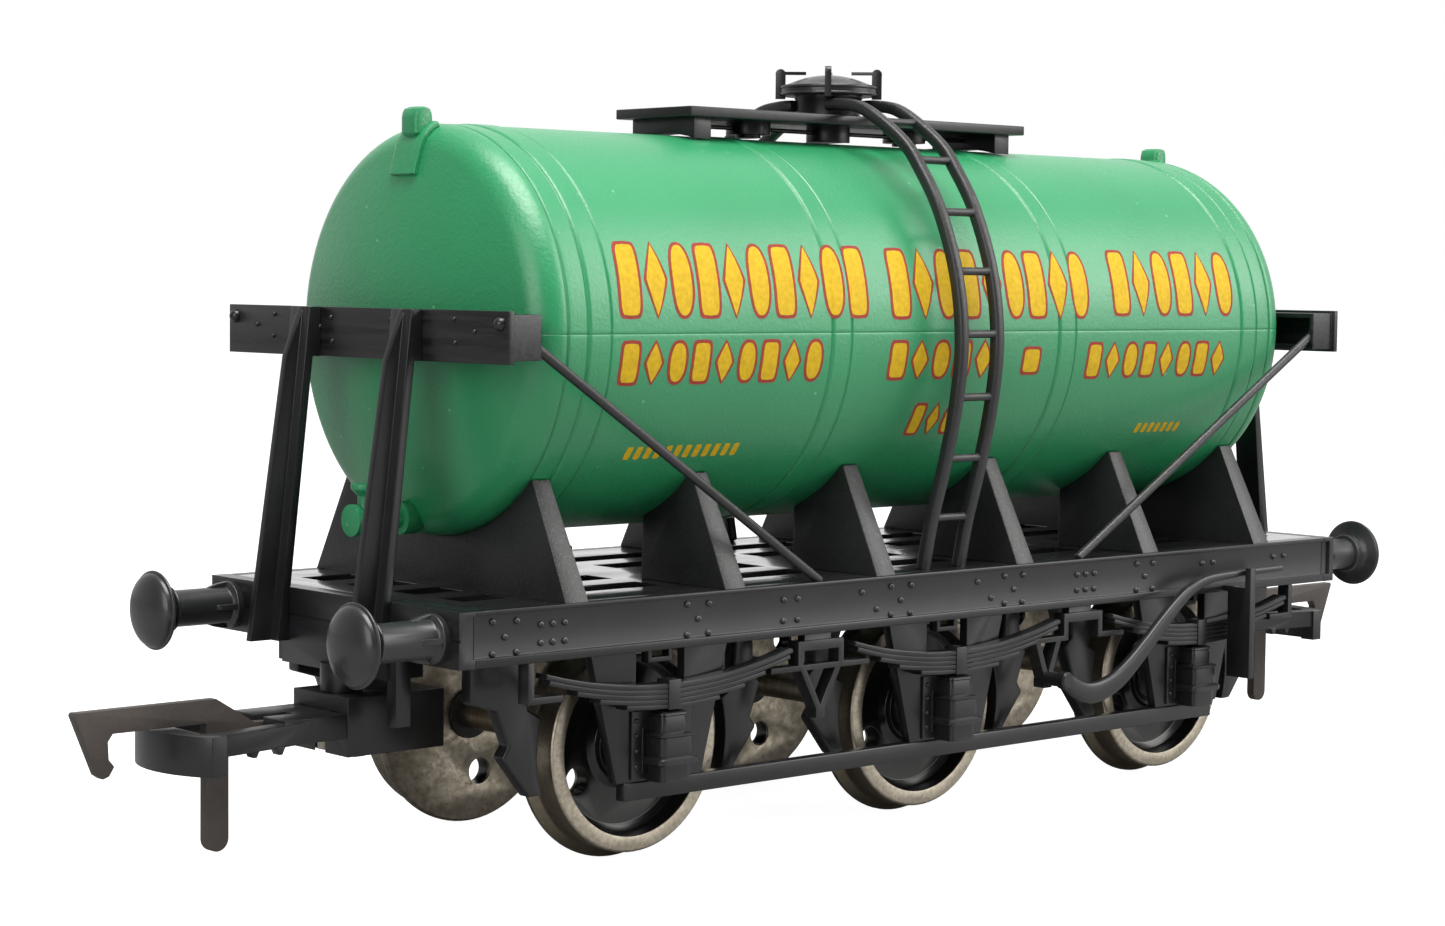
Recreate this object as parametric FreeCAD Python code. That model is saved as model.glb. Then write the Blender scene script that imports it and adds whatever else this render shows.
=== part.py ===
"""Model tank wagon on six wheels, 1:76 scale, written as one STEP file per piece.

Millimetres. +X runs along the wagon from its front end to its rear end, +Y is its right side,
+Z is up, and z = 0 is the lowest point of the wheel flanges. The wagon looks the same after
half a turn about Z, apart from the outlet valve on the front end of the tank.
"""
import FreeCAD
import Part
import math
import os

V = FreeCAD.Vector

# ---- running gear -------------------------------------------------------------------------
AXLE_SPACING = 26.0         # centre to centre of neighbouring axles
FLANGE_R = 7.4              # wheel flange
TREAD_R = 6.85              # wheel tread
TYRE_IN_R = 5.8             # inside of the tyre
HUB_R = 2.4
WHEEL_HOLE_R = 0.88         # three round holes through each wheel disc
WHEEL_HOLE_PITCH_R = 4.15
HOLE_TURN = {-1: 90, 1: 42}  # where the first hole of a left and a right wheel stands
BACK_TO_BACK = 14.5         # between the backs of the two wheels of one axle
WHEEL_T = 2.75              # tyre width with its flange
FLANGE_T = 0.75
DISC_T = 1.3
BUSH_R = 1.7                # insulating bush between wheel and axle
BUSH_LEN = 2.2
BUSH_PROUD = 0.2            # how far a bush stands out behind its wheel
AXLE_R = 1.0
POINT_LEN = 1.7             # length of each pinpoint cone
POINT_PAST = 0.6            # from the axleguard's face to the tip of a pinpoint
JOURNAL_R = 0.6             # plain ends of the middle axle
JOURNAL_PAST = 0.15
FLOAT = 0.5                 # side play of the middle axle, each way
RUN_GAP = 0.05              # radial running clearance
SEAT_GAP = 0.02             # glue or press line between fixed pieces

# ---- tank ---------------------------------------------------------------------------------
TANK_R = 13.0
TANK_LIFT = 3.18            # clear gap between the deck and the tank
WALL = 1.2
BARREL_HALF = 34.3
DOME_DEPTH = 3.8
KNUCKLE_R = 2.2
BAND_H = 0.12               # raised bands round the barrel
END_BAND = (3.4, 1.8)       # from the end seam back to the two edges of a band
LAP_BAND = (10.35, 11.9)    # from the middle of the tank
SEAM_W = 0.22
TONGUE_H = 1.3              # inside lip that joins the two half shells
TONGUE_T = 0.7
TONGUE_ROOT = 0.4
TONGUE_SHORT = 5.3          # how far the lip stops short of the end seam
STRAP_HALF = 1.35           # lifting lug: strap over the dome, and its eye
STRAP_T = 0.3
STRAP_FOOT = 3.43           # below the top of the barrel
STRAP_START = 0.4           # past the end seam
EYE_HALF = 0.88
EYE_X = (0.9, 2.4)          # past the end seam
EYE_Z = (-0.93, 1.07)       # from the top of the barrel

# ---- frame --------------------------------------------------------------------------------
END_ROOM = 8.2              # from the tank's end seam to the outer face of the headstock
HEADSTOCK_T = 1.2
HEADSTOCK_CREASE = 0.16     # groove along the middle of its face
CREASE_DEPTH = 0.1
FRAME_HALF_W = 13.34        # to the outer faces of the solebars
SOLEBAR_T = 1.04
SOLEBAR_WEB_IN = 0.24       # how far the web stands back from the flanges
SOLEBAR_LIP_TOP = 0.28
SOLEBAR_LIP_BOTTOM = 0.55
HEADSTOCK_LIP = 0.5         # bead left at the front of a headstock's side
FRAME_Z0 = 13.87            # underside of solebars and headstocks
DECK_TOP = 17.25
DECK_T = 0.85
SLAT_PITCH = 4.9
SLOT_W = 2.6
SLOT_ROWS = 4
SLOT_END = 1.4              # from a saddle to the end of a slot
END_SLOT_END = 0.4          # the same at an end saddle, towards the headstock
END_SLOT_STOP = 2.6         # from the headstock to the end of an end slot

# ---- saddles ------------------------------------------------------------------------------
SADDLE_NEAR = 6.9           # middle of the wagon to the inner saddles
SADDLE_MID = 20.5
SADDLE_IN = 0.8             # from the end seam back to an end saddle
SADDLE_FOOT_T = 1.8
SADDLE_TOP_T = 1.35
SADDLE_EDGE = 0.14          # from the solebar's face to a saddle's foot
SADDLE_TOP_HALF = 9.6
SADDLE_GAP_HALF = 5.0       # open middle of the four inner saddles
PEG_R = 0.6

# ---- ballast and screws -------------------------------------------------------------------
BALLAST_HALF = 22.0
BALLAST_W = 15.0
BALLAST_T = 3.5
BALLAST_LIFT = 3.4          # above the bottom of the inside of the tank
RIB_X = 14.0
RIB_T = 3.8
SCREW_R = 0.8
SCREW_LEN = 5.2
SCREW_HEAD_R = 1.6
SCREW_HEAD_H = 0.9
SCREW_SLOT_HALF = 0.2
SCREW_SLOT_DEPTH = 0.4
SCREW_GAP = 0.03

# ---- outlet valve -------------------------------------------------------------------------
VALVE_UP = 1.22             # above the bottom of the barrel
VALVE_IN = 1.6              # from the headstock's face back to the cap
VALVE_CAP = (1.0, 0.4)      # radius and thickness
VALVE_PIPE_R = 0.62
VALVE_BODY_R = 0.8
VALVE_BODY_LEN = 1.3
VALVE_FLANGE_R = 1.05
VALVE_FLANGE_T = 1.2
VALVE_STEM = (0.42, 1.6)    # radius and height
VALVE_KNOB = (0.85, 0.75)

# ---- tank top -----------------------------------------------------------------------------
WALK_HALF = 16.41
WALK_W = 7.72
WALK_T = 0.67
WALK_TOP_ABOVE_TANK = 1.83
PAD_X = (14.0, 15.5)
PAD_W = 6.3
DRUM_X = 7.7
DRUM_R = 1.55
DRUM_FOOT_R = 0.87
DRUM_FOOT_H = 0.35
STAY_R = 0.15
STAY_DROP = 0.4             # below the plank
NECK_R = 2.45
NECK_FOOT_R = 2.25
NECK_H = 1.54
LID_R = 3.5
LID_EDGE = 0.75
LID_RISE = 0.75
LID_STEPS = 6
CLAMP_IN = 0.45             # how far a clamp reaches in from the lid's rim
CLAMP_OUT = 0.25
CLAMP_W = 0.45
CLAMP_TOP = 1.9             # above the underside of the lid
CLAMP_HEAD_R = 0.36
CLAMP_ARM = 1.9
CLAMP_ARM_T = 0.22
CLAMP_ANGLES = (45, 135, 225, 315)

# ---- ladders ------------------------------------------------------------------------------
STILE_GAP = 3.5
STILE_D = 0.85
RUNG_D = 0.6
LADDER_FOOT = ((1.74, 0.0), (1.04, 3.25))      # in from the solebar's face, above the deck
LADDER_BENDS = ((-32.5, 3.06), (-16.6, 2.13), (-0.9, 1.85), (16.0, 1.77), (33.1, 2.04),
                (46.1, 2.43), (53.8, 2.76), (63.9, 2.94), (72.0, 3.13), (79.2, 2.93),
                (83.8, 2.76))     # angle round the tank in degrees, clearance from its skin
RUNG_FIRST = 3.63           # along the stile from the deck
RUNG_PITCH = 4.27
RUNG_LAST = 3.0             # least distance from the last rung to the end of a stile

# ---- end frames ---------------------------------------------------------------------------
BEAM_BACK_SET = 2.32        # from the headstock's face back to the crossbeam's face
BEAM_PLATE_T = 0.4
BEAM_DEPTH = 2.68
BEAM_PAST_TANK = 1.9        # each end of the beam beyond the side of the tank
BEAM_DROP = 1.7             # its lower edge below the tank's axis
BEAM_RISE = 1.43
BEAM_LIP = 0.36
BEAM_EDGE = 0.2             # how far the channel stands in from the plate, top and bottom
BEAM_SIDE = 0.3             # the same at the ends
DOME_GAP = 0.45             # between the beam and the tank end
POST_Y = 5.4
POST_W = 2.1
POST_T = 0.6
POST_WEB_T = 0.55
POST_TOP = 0.82             # proud of the beam's face, at the top
POST_FOOT = 0.85            # proud of the headstock's face, at the foot
POST_WEB_TOP = 2.02         # the same for the web, at the bottom of the beam
POST_WEB_FOOT = 2.35
TIE_D = 0.62
TIE_IN = 2.28               # from the beam's face back to the rod's upper end
TIE_SIDE = 0.8              # in from the end of the beam
TIE_DROP = 0.48             # below the tank's axis
TIE_FOOT_X = 12.8
TIE_FOOT_IN = 0.49          # in from the solebar's face
TIE_PAST = 0.04             # share of its length that a rod is drawn too long, then trimmed
TAB_X = (0.2, 0.8)
TAB_HALF = 0.5

# ---- buffers ------------------------------------------------------------------------------
BUFFER_Y = 11.0
BUFFER_Z = 15.54
BUFFER_LEN = 6.73
BUFFER_HEAD_R = 2.53
BUFFER_HEAD_H = 0.85        # height of the domed face
BUFFER_RIM = 0.16
BUFFER_SHANK_R = 1.18
BUFFER_SPIGOT_R = 0.8
BUFFER_BASE_R = 1.53
BUFFER_BASE_T = 0.45
BUFFER_COLLAR = 0.28        # how far the front collar stands proud of the shank
BUFFER_RIB_LEN = 1.9
BUFFER_RIB_HALF = 0.2
DOME_STEPS = 6

# ---- axleguards, springs, axleboxes, keeper bars -------------------------------------------
GUARD_IN = 1.04             # from the solebar's face back to the axleguard's face
GUARD_T = 0.7
GUARD_TOP_HALF = 5.65
GUARD_FOOT_HALF = 3.5
GUARD_WINDOW_HALF = 2.0
GUARD_WINDOW_Z = 11.6
CLIP_HALF = 1.0             # small clip in the top of the window
CLIP_T = 0.3
CLIP_H = 0.9
KEEPER_Z0 = 4.43
KEEPER_Z1 = 5.6
KEEPER_T = 0.85
KEEPER_PAST = 2.9           # beyond the outer axles
BOX_HALF = 1.4
BOX_DEPTH = 1.9             # from the axleguard's face to the front of a box
BOX_Z1 = 10.15
BOX_PLATE_HALF = 2.45
BOX_PLATE_T = 0.2
BOX_LIP = 0.5
BOX_LIP_Z = (6.9, 7.3)
BOX_SHOULDER_Z = 8.9
BOX_TOP_HALF = 1.1
SPRING_ROOM = 2.9           # from the middle of a hanger to the end of the top leaf
LEAF_STEPS = (0.0, 0.3, 2.5, 4.3, 6.4)         # how much shorter each leaf is than the top one
SPRING_RISE = 1.4
SPRING_Z = 11.75
LEAF_PITCH = 0.31
LEAF_GROOVE = 0.06
SPRING_OUT = 0.25           # between the axleguard and the spring
SPRING_W = 1.1
BUCKLE_HALF = 0.5
BUCKLE_PROUD = 0.08

# ---- hangers and brakes --------------------------------------------------------------------
HANGER_HALF = 2.05
HANGER_FOOT = 4.45
HANGER_Z1 = 13.45
HANGER_BAR = 0.62
HANGER_FOOT_Z = 11.55
HANGER_FOOT_T = 0.35
HANGER_W = 1.0
HANGER_NECK_HALF = 1.2      # block that holds the bracket under the solebar
HANGER_NECK_IN = 0.34
STRAP = 0.45
V_HALF = 1.9
V_FOOT_Z = 8.7
LEVER_V_BACK = 3.7          # from the bracket's middle back to the lever's pivot
LEVER_V_HALF = 1.4
END_BRACKET_PAST = 11.1     # beyond the outer axles
END_BRACKET_FOOT = 2.5
END_BRACKET_Z = (11.35, 11.75)
LEVER_OUT = 1.21            # from the solebar's face to the back of the lever
LEVER_T = 0.7
LEVER_PATH = ((0.0, 9.04, 1.2), (1.7, 8.15, 1.4), (3.3, 7.95, 1.5), (5.3, 8.5, 1.4),
              (7.0, 9.5, 1.25), (8.8, 10.9, 1.1), (10.6, 12.4, 1.0), (12.3, 13.7, 0.9),
              (13.7, 14.55, 0.8), (15.5, 15.16, 0.66), (18.8, 15.4, 0.5),
              (24.4, 15.5, 0.45))              # past the pivot, height, width of the lever
LEVER_BOSS_R = 0.5
LEVER_GUARD_PAST = 19.85    # beyond the lever's pivot
LEVER_GUARD_T = 0.6
LEVER_GUARD_WEB = 0.5
LEVER_GUARD_STRIP = 0.5
LEVER_GUARD_FOOT = 0.4
LEVER_GUARD_Z0 = 7.6
LEVER_GUARD_Z1 = 15.8
SHOE_GAP = 0.95             # between a shoe and the tread
SHOE_HALF_ANGLE = 18.0
SHOE_APEX = 3.65            # the shoe's farthest point beyond the tread
SHOE_TREAD = (0.75, 0.15)   # clear of the flange, and in from the wheel's face
SHOE_STEPS = 6
BLOCK_D = (8.7, 12.9)       # the end hangers, from the axle
ARM_D = (8.7, 10.2)         # the hangers between two wheels
BLOCK_Z = 3.7               # above the axle

# ---- couplings, from the headstock's face ---------------------------------------------------
POCKET_IN_X = 6.7
POCKET_OUT_X = 0.6
POCKET_HALF = 2.95
POCKET_Z = (7.44, 11.1)
PIVOT_IN = 1.0
HEAD_SINK = 0.15            # the screw's head inside the pocket
MOUNT_HALF = 5.6
MOUNT_IN = (3.1, 0.3)
MOUNT_Z0 = 12.4
STOP_Z0 = 9.6
STOP_W = 0.8
BOSS_R = 1.35
PRONG_Y = (1.25, 2.1)
PRONG_Z = (8.6, 10.1)
PRONG_LEN = 5.2
SHANK_OUT = 5.1
ARM_ROOT = 3.5
BAR_BACK = 10.8
BAR_CORNER = 11.1
BAR_NOSE = 12.5
BAR_HALF = 4.3
BAR_HORN = 0.75             # how far the bar's ends reach back
BAR_Z = (7.5, 9.9)
ARM_Z0 = 8.6
ARM_T = 1.2
ARM_RIBS = (5.8, 7.6)
ARM_RIB_H = 0.38
HOOK_T = 0.7
HOOK_SLOT_HALF = 0.5
HOOK_SLOT_START = 2.9
HOOK_PIVOT = (4.5, 9.2)
HOOK_PIN_R = 0.4
HOOK_LIFT = 0.13            # between the bar's top and the hook
TAIL_X = (7.45, 9.0)
TAIL_Z0 = 2.2
# the hook's upper edge and nose: out from the headstock, above the hook's underside
HOOK_NOSE = ((8.3, 1.42), (17.8, 1.42), (17.9, 1.25), (16.4, -2.35), (16.0, -2.62),
             (15.6, -2.48), (15.25, -1.94), (15.62, -1.5), (15.68, -0.45), (15.35, 0.0))

# ---- what follows from the sizes above ------------------------------------------------------
AXLE_Z = FLANGE_R
AXLE_X = (-AXLE_SPACING, 0.0, AXLE_SPACING)
BODY_HALF = BARREL_HALF + END_ROOM
TANK_Z = DECK_TOP + TANK_LIFT + TANK_R
TANK_TOP = TANK_Z + TANK_R
WALK_TOP = TANK_TOP + WALK_TOP_ABOVE_TANK
DECK_HALF = BODY_HALF - HEADSTOCK_T
DECK_HALF_W = FRAME_HALF_W - SOLEBAR_T
DECK_Z0 = DECK_TOP - DECK_T
END_SADDLE_X = BARREL_HALF - SADDLE_IN
SADDLE_X = (-END_SADDLE_X, -SADDLE_MID, -SADDLE_NEAR, SADDLE_NEAR, SADDLE_MID, END_SADDLE_X)
GUARD_Y = FRAME_HALF_W - GUARD_IN
GUARD_BACK = GUARD_Y - GUARD_T
AXLE_HALF = GUARD_Y + POINT_PAST
JOURNAL_HALF = GUARD_Y + JOURNAL_PAST
BOX_FRONT = GUARD_Y + BOX_DEPTH
LEVER_Y = FRAME_HALF_W + LEVER_OUT
LEVER_V_X = AXLE_SPACING / 2.0 - LEVER_V_BACK
SPRING_HALF = AXLE_SPACING / 2.0 - SPRING_ROOM
BEAM_FACE = BODY_HALF - BEAM_BACK_SET
BEAM_HALF_W = TANK_R + BEAM_PAST_TANK
BEAM_Z0 = TANK_Z - BEAM_DROP
BEAM_Z1 = TANK_Z + BEAM_RISE
COUPLING_PIVOT_X = BODY_HALF - PIVOT_IN
POCKET_X = (BODY_HALF - POCKET_IN_X, BODY_HALF + POCKET_OUT_X)
WHEEL_BACK = BACK_TO_BACK / 2.0
WHEEL_FACE = WHEEL_BACK + WHEEL_T
CROWN_R = (KNUCKLE_R ** 2 - (TANK_R - KNUCKLE_R) ** 2 - DOME_DEPTH ** 2) / (KNUCKLE_R - DOME_DEPTH) / 2.0
FAR = 100.0                 # larger than the wagon, for cutting


def box(x0, x1, y0, y1, z0, z1):
    """A block between two corners."""
    low = V(min(x0, x1), min(y0, y1), min(z0, z1))
    return Part.makeBox(abs(x1 - x0), abs(y1 - y0), abs(z1 - z0), low)


def rod(r, start, end):
    """A round bar from one point to another."""
    a = V(*start)
    b = V(*end)
    return Part.makeCylinder(r, (b - a).Length, a, b - a)


def prism_xz(points, y0, y1):
    """An outline in the XZ plane carried from y0 to y1."""
    ring = [V(x, y0, z) for x, z in points]
    face = Part.Face(Part.makePolygon(ring + ring[:1]))
    return face.extrude(V(0, y1 - y0, 0))


def prism_yz(points, x0, x1):
    """An outline in the YZ plane carried from x0 to x1."""
    ring = [V(x0, y, z) for y, z in points]
    face = Part.Face(Part.makePolygon(ring + ring[:1]))
    return face.extrude(V(x1 - x0, 0, 0))


def prism_xy(points, z0, z1):
    """An outline in the XY plane carried from z0 to z1."""
    ring = [V(x, y, z0) for x, y in points]
    face = Part.Face(Part.makePolygon(ring + ring[:1]))
    return face.extrude(V(0, 0, z1 - z0))


def ribbon(points, widths):
    """The outline of a strip whose middle line and width are given, with mitred corners."""
    left = []
    right = []
    last = len(points) - 1
    for i, (a, b) in enumerate(points):
        before = points[max(i - 1, 0)]
        after = points[min(i + 1, last)]
        if i in (0, last):
            ta = math.atan2(after[1] - before[1], after[0] - before[0])
            half = widths[i] / 2.0
        else:
            t0 = math.atan2(b - before[1], a - before[0])
            t1 = math.atan2(after[1] - b, after[0] - a)
            turn = (t1 - t0 + math.pi) % (2.0 * math.pi) - math.pi
            ta = t0 + turn / 2.0
            half = widths[i] / 2.0 / math.cos(turn / 2.0)
        na = -math.sin(ta) * half
        nb = math.cos(ta) * half
        left.append((a + na, b + nb))
        right.append((a - na, b - nb))
    return left + right[::-1]


def revolved(edges, centre, direction):
    """A closed outline of edges turned once about an axis."""
    return Part.Face(Part.Wire(edges)).revolve(centre, direction, 360)


def lathe(profile, centre, direction):
    """A solid of straight profile pieces, given as (distance along the axis, radius)."""
    axis = V(*direction)
    axis.normalize()
    out = V(0, 0, 1)
    if abs(axis.z) > 0.5:
        out = V(1, 0, 0)
    base = V(*centre)
    ring = [base + axis * s + out * r for s, r in profile]
    return Part.Face(Part.makePolygon(ring + ring[:1])).revolve(base, axis, 360)


def joined(shapes):
    """Several overlapping or touching shapes as one solid."""
    first = shapes[0]
    if len(shapes) > 1:
        first = first.fuse(shapes[1:])
    return first.removeSplitter()


def group(shapes):
    """Several separate solids as one node."""
    solids = [s for shape in shapes for s in shape.Solids]
    return Part.makeCompound(solids)


def turned(shape):
    """The same piece at the other end, half a turn about Z."""
    copy = shape.copy()
    copy.rotate(V(0, 0, 0), V(0, 0, 1), 180)
    return copy


def export(shape, name):
    """Write one node."""
    if shape.ShapeType != "Compound":
        shape = shape.Solids[0]
    shape.exportStep(os.path.join("parts", name + ".step"))
    nodes[name] = shape


# ---- tank -----------------------------------------------------------------------------------

def tank_form(inset):
    """The tank's barrel with dished ends, drawn inset from its outer skin."""
    r = TANK_R - inset
    knuckle = KNUCKLE_R - inset
    crown = CROWN_R - inset
    knuckle_r = TANK_R - KNUCKLE_R
    crown_x = BARREL_HALF + DOME_DEPTH - CROWN_R
    turn = math.atan2(knuckle_r, BARREL_HALF - crown_x)
    join = V(crown_x + crown * math.cos(turn), 0, TANK_Z + crown * math.sin(turn))
    apex = V(crown_x + crown, 0, TANK_Z)
    half = turn / 2.0
    mid_crown = V(crown_x + crown * math.cos(half), 0, TANK_Z + crown * math.sin(half))
    mid = (turn + math.pi / 2.0) / 2.0
    mid_knuckle = V(BARREL_HALF + knuckle * math.cos(mid), 0, TANK_Z + knuckle_r + knuckle * math.sin(mid))
    shoulder = V(BARREL_HALF, 0, TANK_Z + r)
    right = [Part.Arc(shoulder, mid_knuckle, join).toShape(), Part.Arc(join, mid_crown, apex).toShape()]
    left = [e.mirror(V(0, 0, 0), V(1, 0, 0)) for e in right]
    barrel = Part.makeLine(V(-BARREL_HALF, 0, TANK_Z + r), shoulder)
    axis = Part.makeLine(V(-apex.x, 0, TANK_Z), apex)
    edges = Part.__sortEdges__(left + [barrel] + right + [axis])
    return revolved(edges, V(0, 0, TANK_Z), V(1, 0, 0))


def ring(x0, x1, r0, r1):
    """A flat ring round the tank's axis."""
    outer = rod(r1, (x0, 0, TANK_Z), (x1, 0, TANK_Z))
    return outer.cut(rod(r0, (x0 - 1.0, 0, TANK_Z), (x1 + 1.0, 0, TANK_Z)))


def tank_skin():
    """The outside of the tank with its raised bands and end seams."""
    skin = tank_form(0.0)
    end_band = [BARREL_HALF - back for back in END_BAND]
    for x0, x1 in (end_band, LAP_BAND):
        for side in (-1, 1):
            skin = skin.fuse(rod(TANK_R + BAND_H, (side * x0, 0, TANK_Z), (side * x1, 0, TANK_Z)))
    for side in (-1, 1):
        seam = side * BARREL_HALF
        skin = skin.cut(ring(seam - SEAM_W / 2.0, seam + SEAM_W / 2.0, TANK_R - BAND_H, TANK_R + 1.0))
    return skin


def lifting_lug():
    """The strap that lies on the front dome and the round-topped eye on it."""
    start = -BARREL_HALF - STRAP_START
    strap = tank_form(-STRAP_T).common(box(-FAR, start, -STRAP_HALF, STRAP_HALF, TANK_TOP - STRAP_FOOT, FAR))
    x0, x1 = [-BARREL_HALF - past for past in EYE_X]
    r = abs(x1 - x0) / 2.0
    middle = (x0 + x1) / 2.0
    top = TANK_TOP + EYE_Z[1] - r
    block = box(x0, x1, -EYE_HALF, EYE_HALF, TANK_TOP + EYE_Z[0], top)
    cap = rod(r, (middle, -EYE_HALF, top), (middle, EYE_HALF, top))
    return joined([strap, block, cap])


def tank_shells():
    """The two half shells of the tank, with the lip, ribs and holes inside."""
    hollow = tank_form(WALL)
    skin = tank_skin()
    lugs = lifting_lug()
    above = box(-FAR, FAR, -FAR, FAR, TANK_Z, TANK_Z + FAR)
    shell = joined([skin, lugs, turned(lugs)]).cut(hollow)
    upper = shell.common(above)
    lower = shell.cut(above)
    inner = TANK_R - WALL
    tongue = BARREL_HALF - TONGUE_SHORT
    bore = rod(inner - SEAT_GAP, (-FAR, 0, TANK_Z), (FAR, 0, TANK_Z))
    lips = []
    for side in (-1, 1):
        lip = box(-tongue, tongue, side * (inner - TONGUE_T), side * (inner + TONGUE_ROOT),
                  TANK_Z - TONGUE_H, TANK_Z + TONGUE_H)
        lips.append(lip.cut(above.cut(bore)))
    ballast_z = TANK_Z - inner + BALLAST_LIFT
    hollow_fill = rod(inner + WALL / 4.0, (-RIB_X - RIB_T, 0, TANK_Z), (RIB_X + RIB_T, 0, TANK_Z))
    ribs = [box(x - RIB_T / 2, x + RIB_T / 2, -FAR, FAR, 0, ballast_z).common(hollow_fill)
            for x in (-RIB_X, RIB_X)]
    lower = joined([lower] + lips + ribs)
    depth = SCREW_LEN - BALLAST_T
    for x in (-RIB_X, RIB_X):
        lower = lower.cut(rod(SCREW_R + SCREW_GAP, (x, 0, ballast_z - depth - 0.1), (x, 0, ballast_z + 1)))
    for x in (-END_SADDLE_X, END_SADDLE_X):
        lower = lower.cut(rod(PEG_R + RUN_GAP, (x, 0, DECK_TOP), (x, 0, TANK_Z - inner + 0.5)))
    return upper, lower, ballast_z


def screw(x, z, up):
    """A cheese-head screw whose head's underside is at height z."""
    sign = 1.0 if up else -1.0
    shank = rod(SCREW_R, (x, 0, z), (x, 0, z + sign * SCREW_LEN))
    head = rod(SCREW_HEAD_R, (x, 0, z), (x, 0, z - sign * SCREW_HEAD_H))
    slot_z = z - sign * SCREW_HEAD_H
    slot = box(x - SCREW_SLOT_HALF, x + SCREW_SLOT_HALF, -SCREW_HEAD_R, SCREW_HEAD_R,
               slot_z - SCREW_SLOT_DEPTH, slot_z + SCREW_SLOT_DEPTH)
    return joined([shank, head]).cut(slot)


def outlet_valve(skin):
    """Flange, pipe, capped outlet, stem and knob at the bottom of the front end."""
    z = TANK_Z - TANK_R + VALVE_UP
    face = -BODY_HALF + VALVE_IN
    cap_r, cap_t = VALVE_CAP
    stem_r, stem_h = VALVE_STEM
    knob_r, knob_h = VALVE_KNOB
    root = -BARREL_HALF - DOME_DEPTH * 0.2
    end = -BARREL_HALF - DOME_DEPTH * 0.45
    stem_x = face + cap_t + VALVE_BODY_LEN / 2.0
    top = z + stem_h
    flange = rod(VALVE_FLANGE_R, (end - VALVE_FLANGE_T, 0, z), (end, 0, z))
    pipe = rod(VALVE_PIPE_R, (face + cap_t, 0, z), (root, 0, z))
    cap = rod(cap_r, (face, 0, z), (face + cap_t, 0, z))
    body = rod(VALVE_BODY_R, (face + cap_t, 0, z), (face + cap_t + VALVE_BODY_LEN, 0, z))
    stem = rod(stem_r, (stem_x, 0, z), (stem_x, 0, top))
    knob = lathe([(0.0, 0.0), (0.0, stem_r), (knob_h * 0.6, knob_r), (knob_h, knob_r), (knob_h, 0.0)],
                 (stem_x, 0, top - 0.1), (0, 0, 1))
    return joined([flange, pipe, cap, body, stem, knob]).cut(skin)


def saddle(x):
    """A plate with sloping sides and a round seat; the four inner ones are open in the middle."""
    seat = TANK_R + BAND_H + SEAT_GAP
    top = TANK_Z - math.sqrt(seat ** 2 - SADDLE_TOP_HALF ** 2)
    foot = FRAME_HALF_W - SADDLE_EDGE
    outline = [(-foot, DECK_TOP), (foot, DECK_TOP), (SADDLE_TOP_HALF, top), (-SADDLE_TOP_HALF, top)]
    across = prism_yz(outline, x - SADDLE_FOOT_T, x + SADDLE_FOOT_T)
    low = SADDLE_FOOT_T / 2.0
    high = SADDLE_TOP_T / 2.0
    section = [(x - low, DECK_TOP), (x + low, DECK_TOP), (x + high, top), (x - high, top)]
    along = prism_xz(section, -foot, foot)
    plate = across.common(along).cut(rod(TANK_R + SEAT_GAP, (x - 3, 0, TANK_Z), (x + 3, 0, TANK_Z)))
    if abs(x) == END_SADDLE_X:
        peg = rod(PEG_R, (x, 0, DECK_TOP + 1.0), (x, 0, TANK_Z - TANK_R + WALL))
        return joined([plate, peg])
    return group([plate.cut(box(x - 3, x + 3, -SADDLE_GAP_HALF, SADDLE_GAP_HALF, 0, FAR))])


# ---- tank top -----------------------------------------------------------------------------

def walkway():
    """The plank along the top of the tank."""
    half = WALK_W / 2.0
    return box(-WALK_HALF, WALK_HALF, -half, half, WALK_TOP - WALK_T, WALK_TOP)


def walkway_supports():
    """Two end pads, three drums and the thin stays that join them, under the plank."""
    under = WALK_TOP - WALK_T
    low = TANK_TOP - 2.0
    foot = TANK_TOP + DRUM_FOOT_H
    half = PAD_W / 2.0
    shapes = []
    for side in (-1, 1):
        shapes.append(box(side * PAD_X[0], side * PAD_X[1], -half, half, low, under))
        shapes.append(rod(DRUM_R, (side * DRUM_X, 0, foot), (side * DRUM_X, 0, under)))
        shapes.append(rod(DRUM_FOOT_R, (side * DRUM_X, 0, low), (side * DRUM_X, 0, foot)))
    shapes.append(rod(DRUM_R, (0, 0, low), (0, 0, under)))
    stay = under - STAY_DROP
    shapes.append(rod(STAY_R, (-PAD_X[0] - STAY_R, 0, stay), (PAD_X[0] + STAY_R, 0, stay)))
    barrel = rod(TANK_R + BAND_H + SEAT_GAP, (-BARREL_HALF, 0, TANK_Z), (BARREL_HALF, 0, TANK_Z))
    return joined(shapes).cut(barrel)


def manhole_clamp(angle):
    """One clamp: a round-headed lug at the lid's rim with an arm towards the middle."""
    z0 = WALK_TOP + NECK_H
    half = CLAMP_W / 2.0
    head = z0 + CLAMP_TOP - CLAMP_HEAD_R
    middle = LID_R + (CLAMP_OUT - CLAMP_IN) / 2.0
    arm_z = z0 + LID_EDGE + LID_RISE
    lug = box(LID_R - CLAMP_IN, LID_R + CLAMP_OUT, -half, half, z0 - 0.2, head)
    top = rod(CLAMP_HEAD_R, (middle, -half, head), (middle, half, head))
    arm = box(LID_R - CLAMP_ARM, middle, -half / 2, half / 2, arm_z, arm_z + CLAMP_ARM_T)
    clamp = joined([lug, top, arm])
    clamp.rotate(V(0, 0, 0), V(0, 0, 1), angle)
    return clamp


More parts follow.
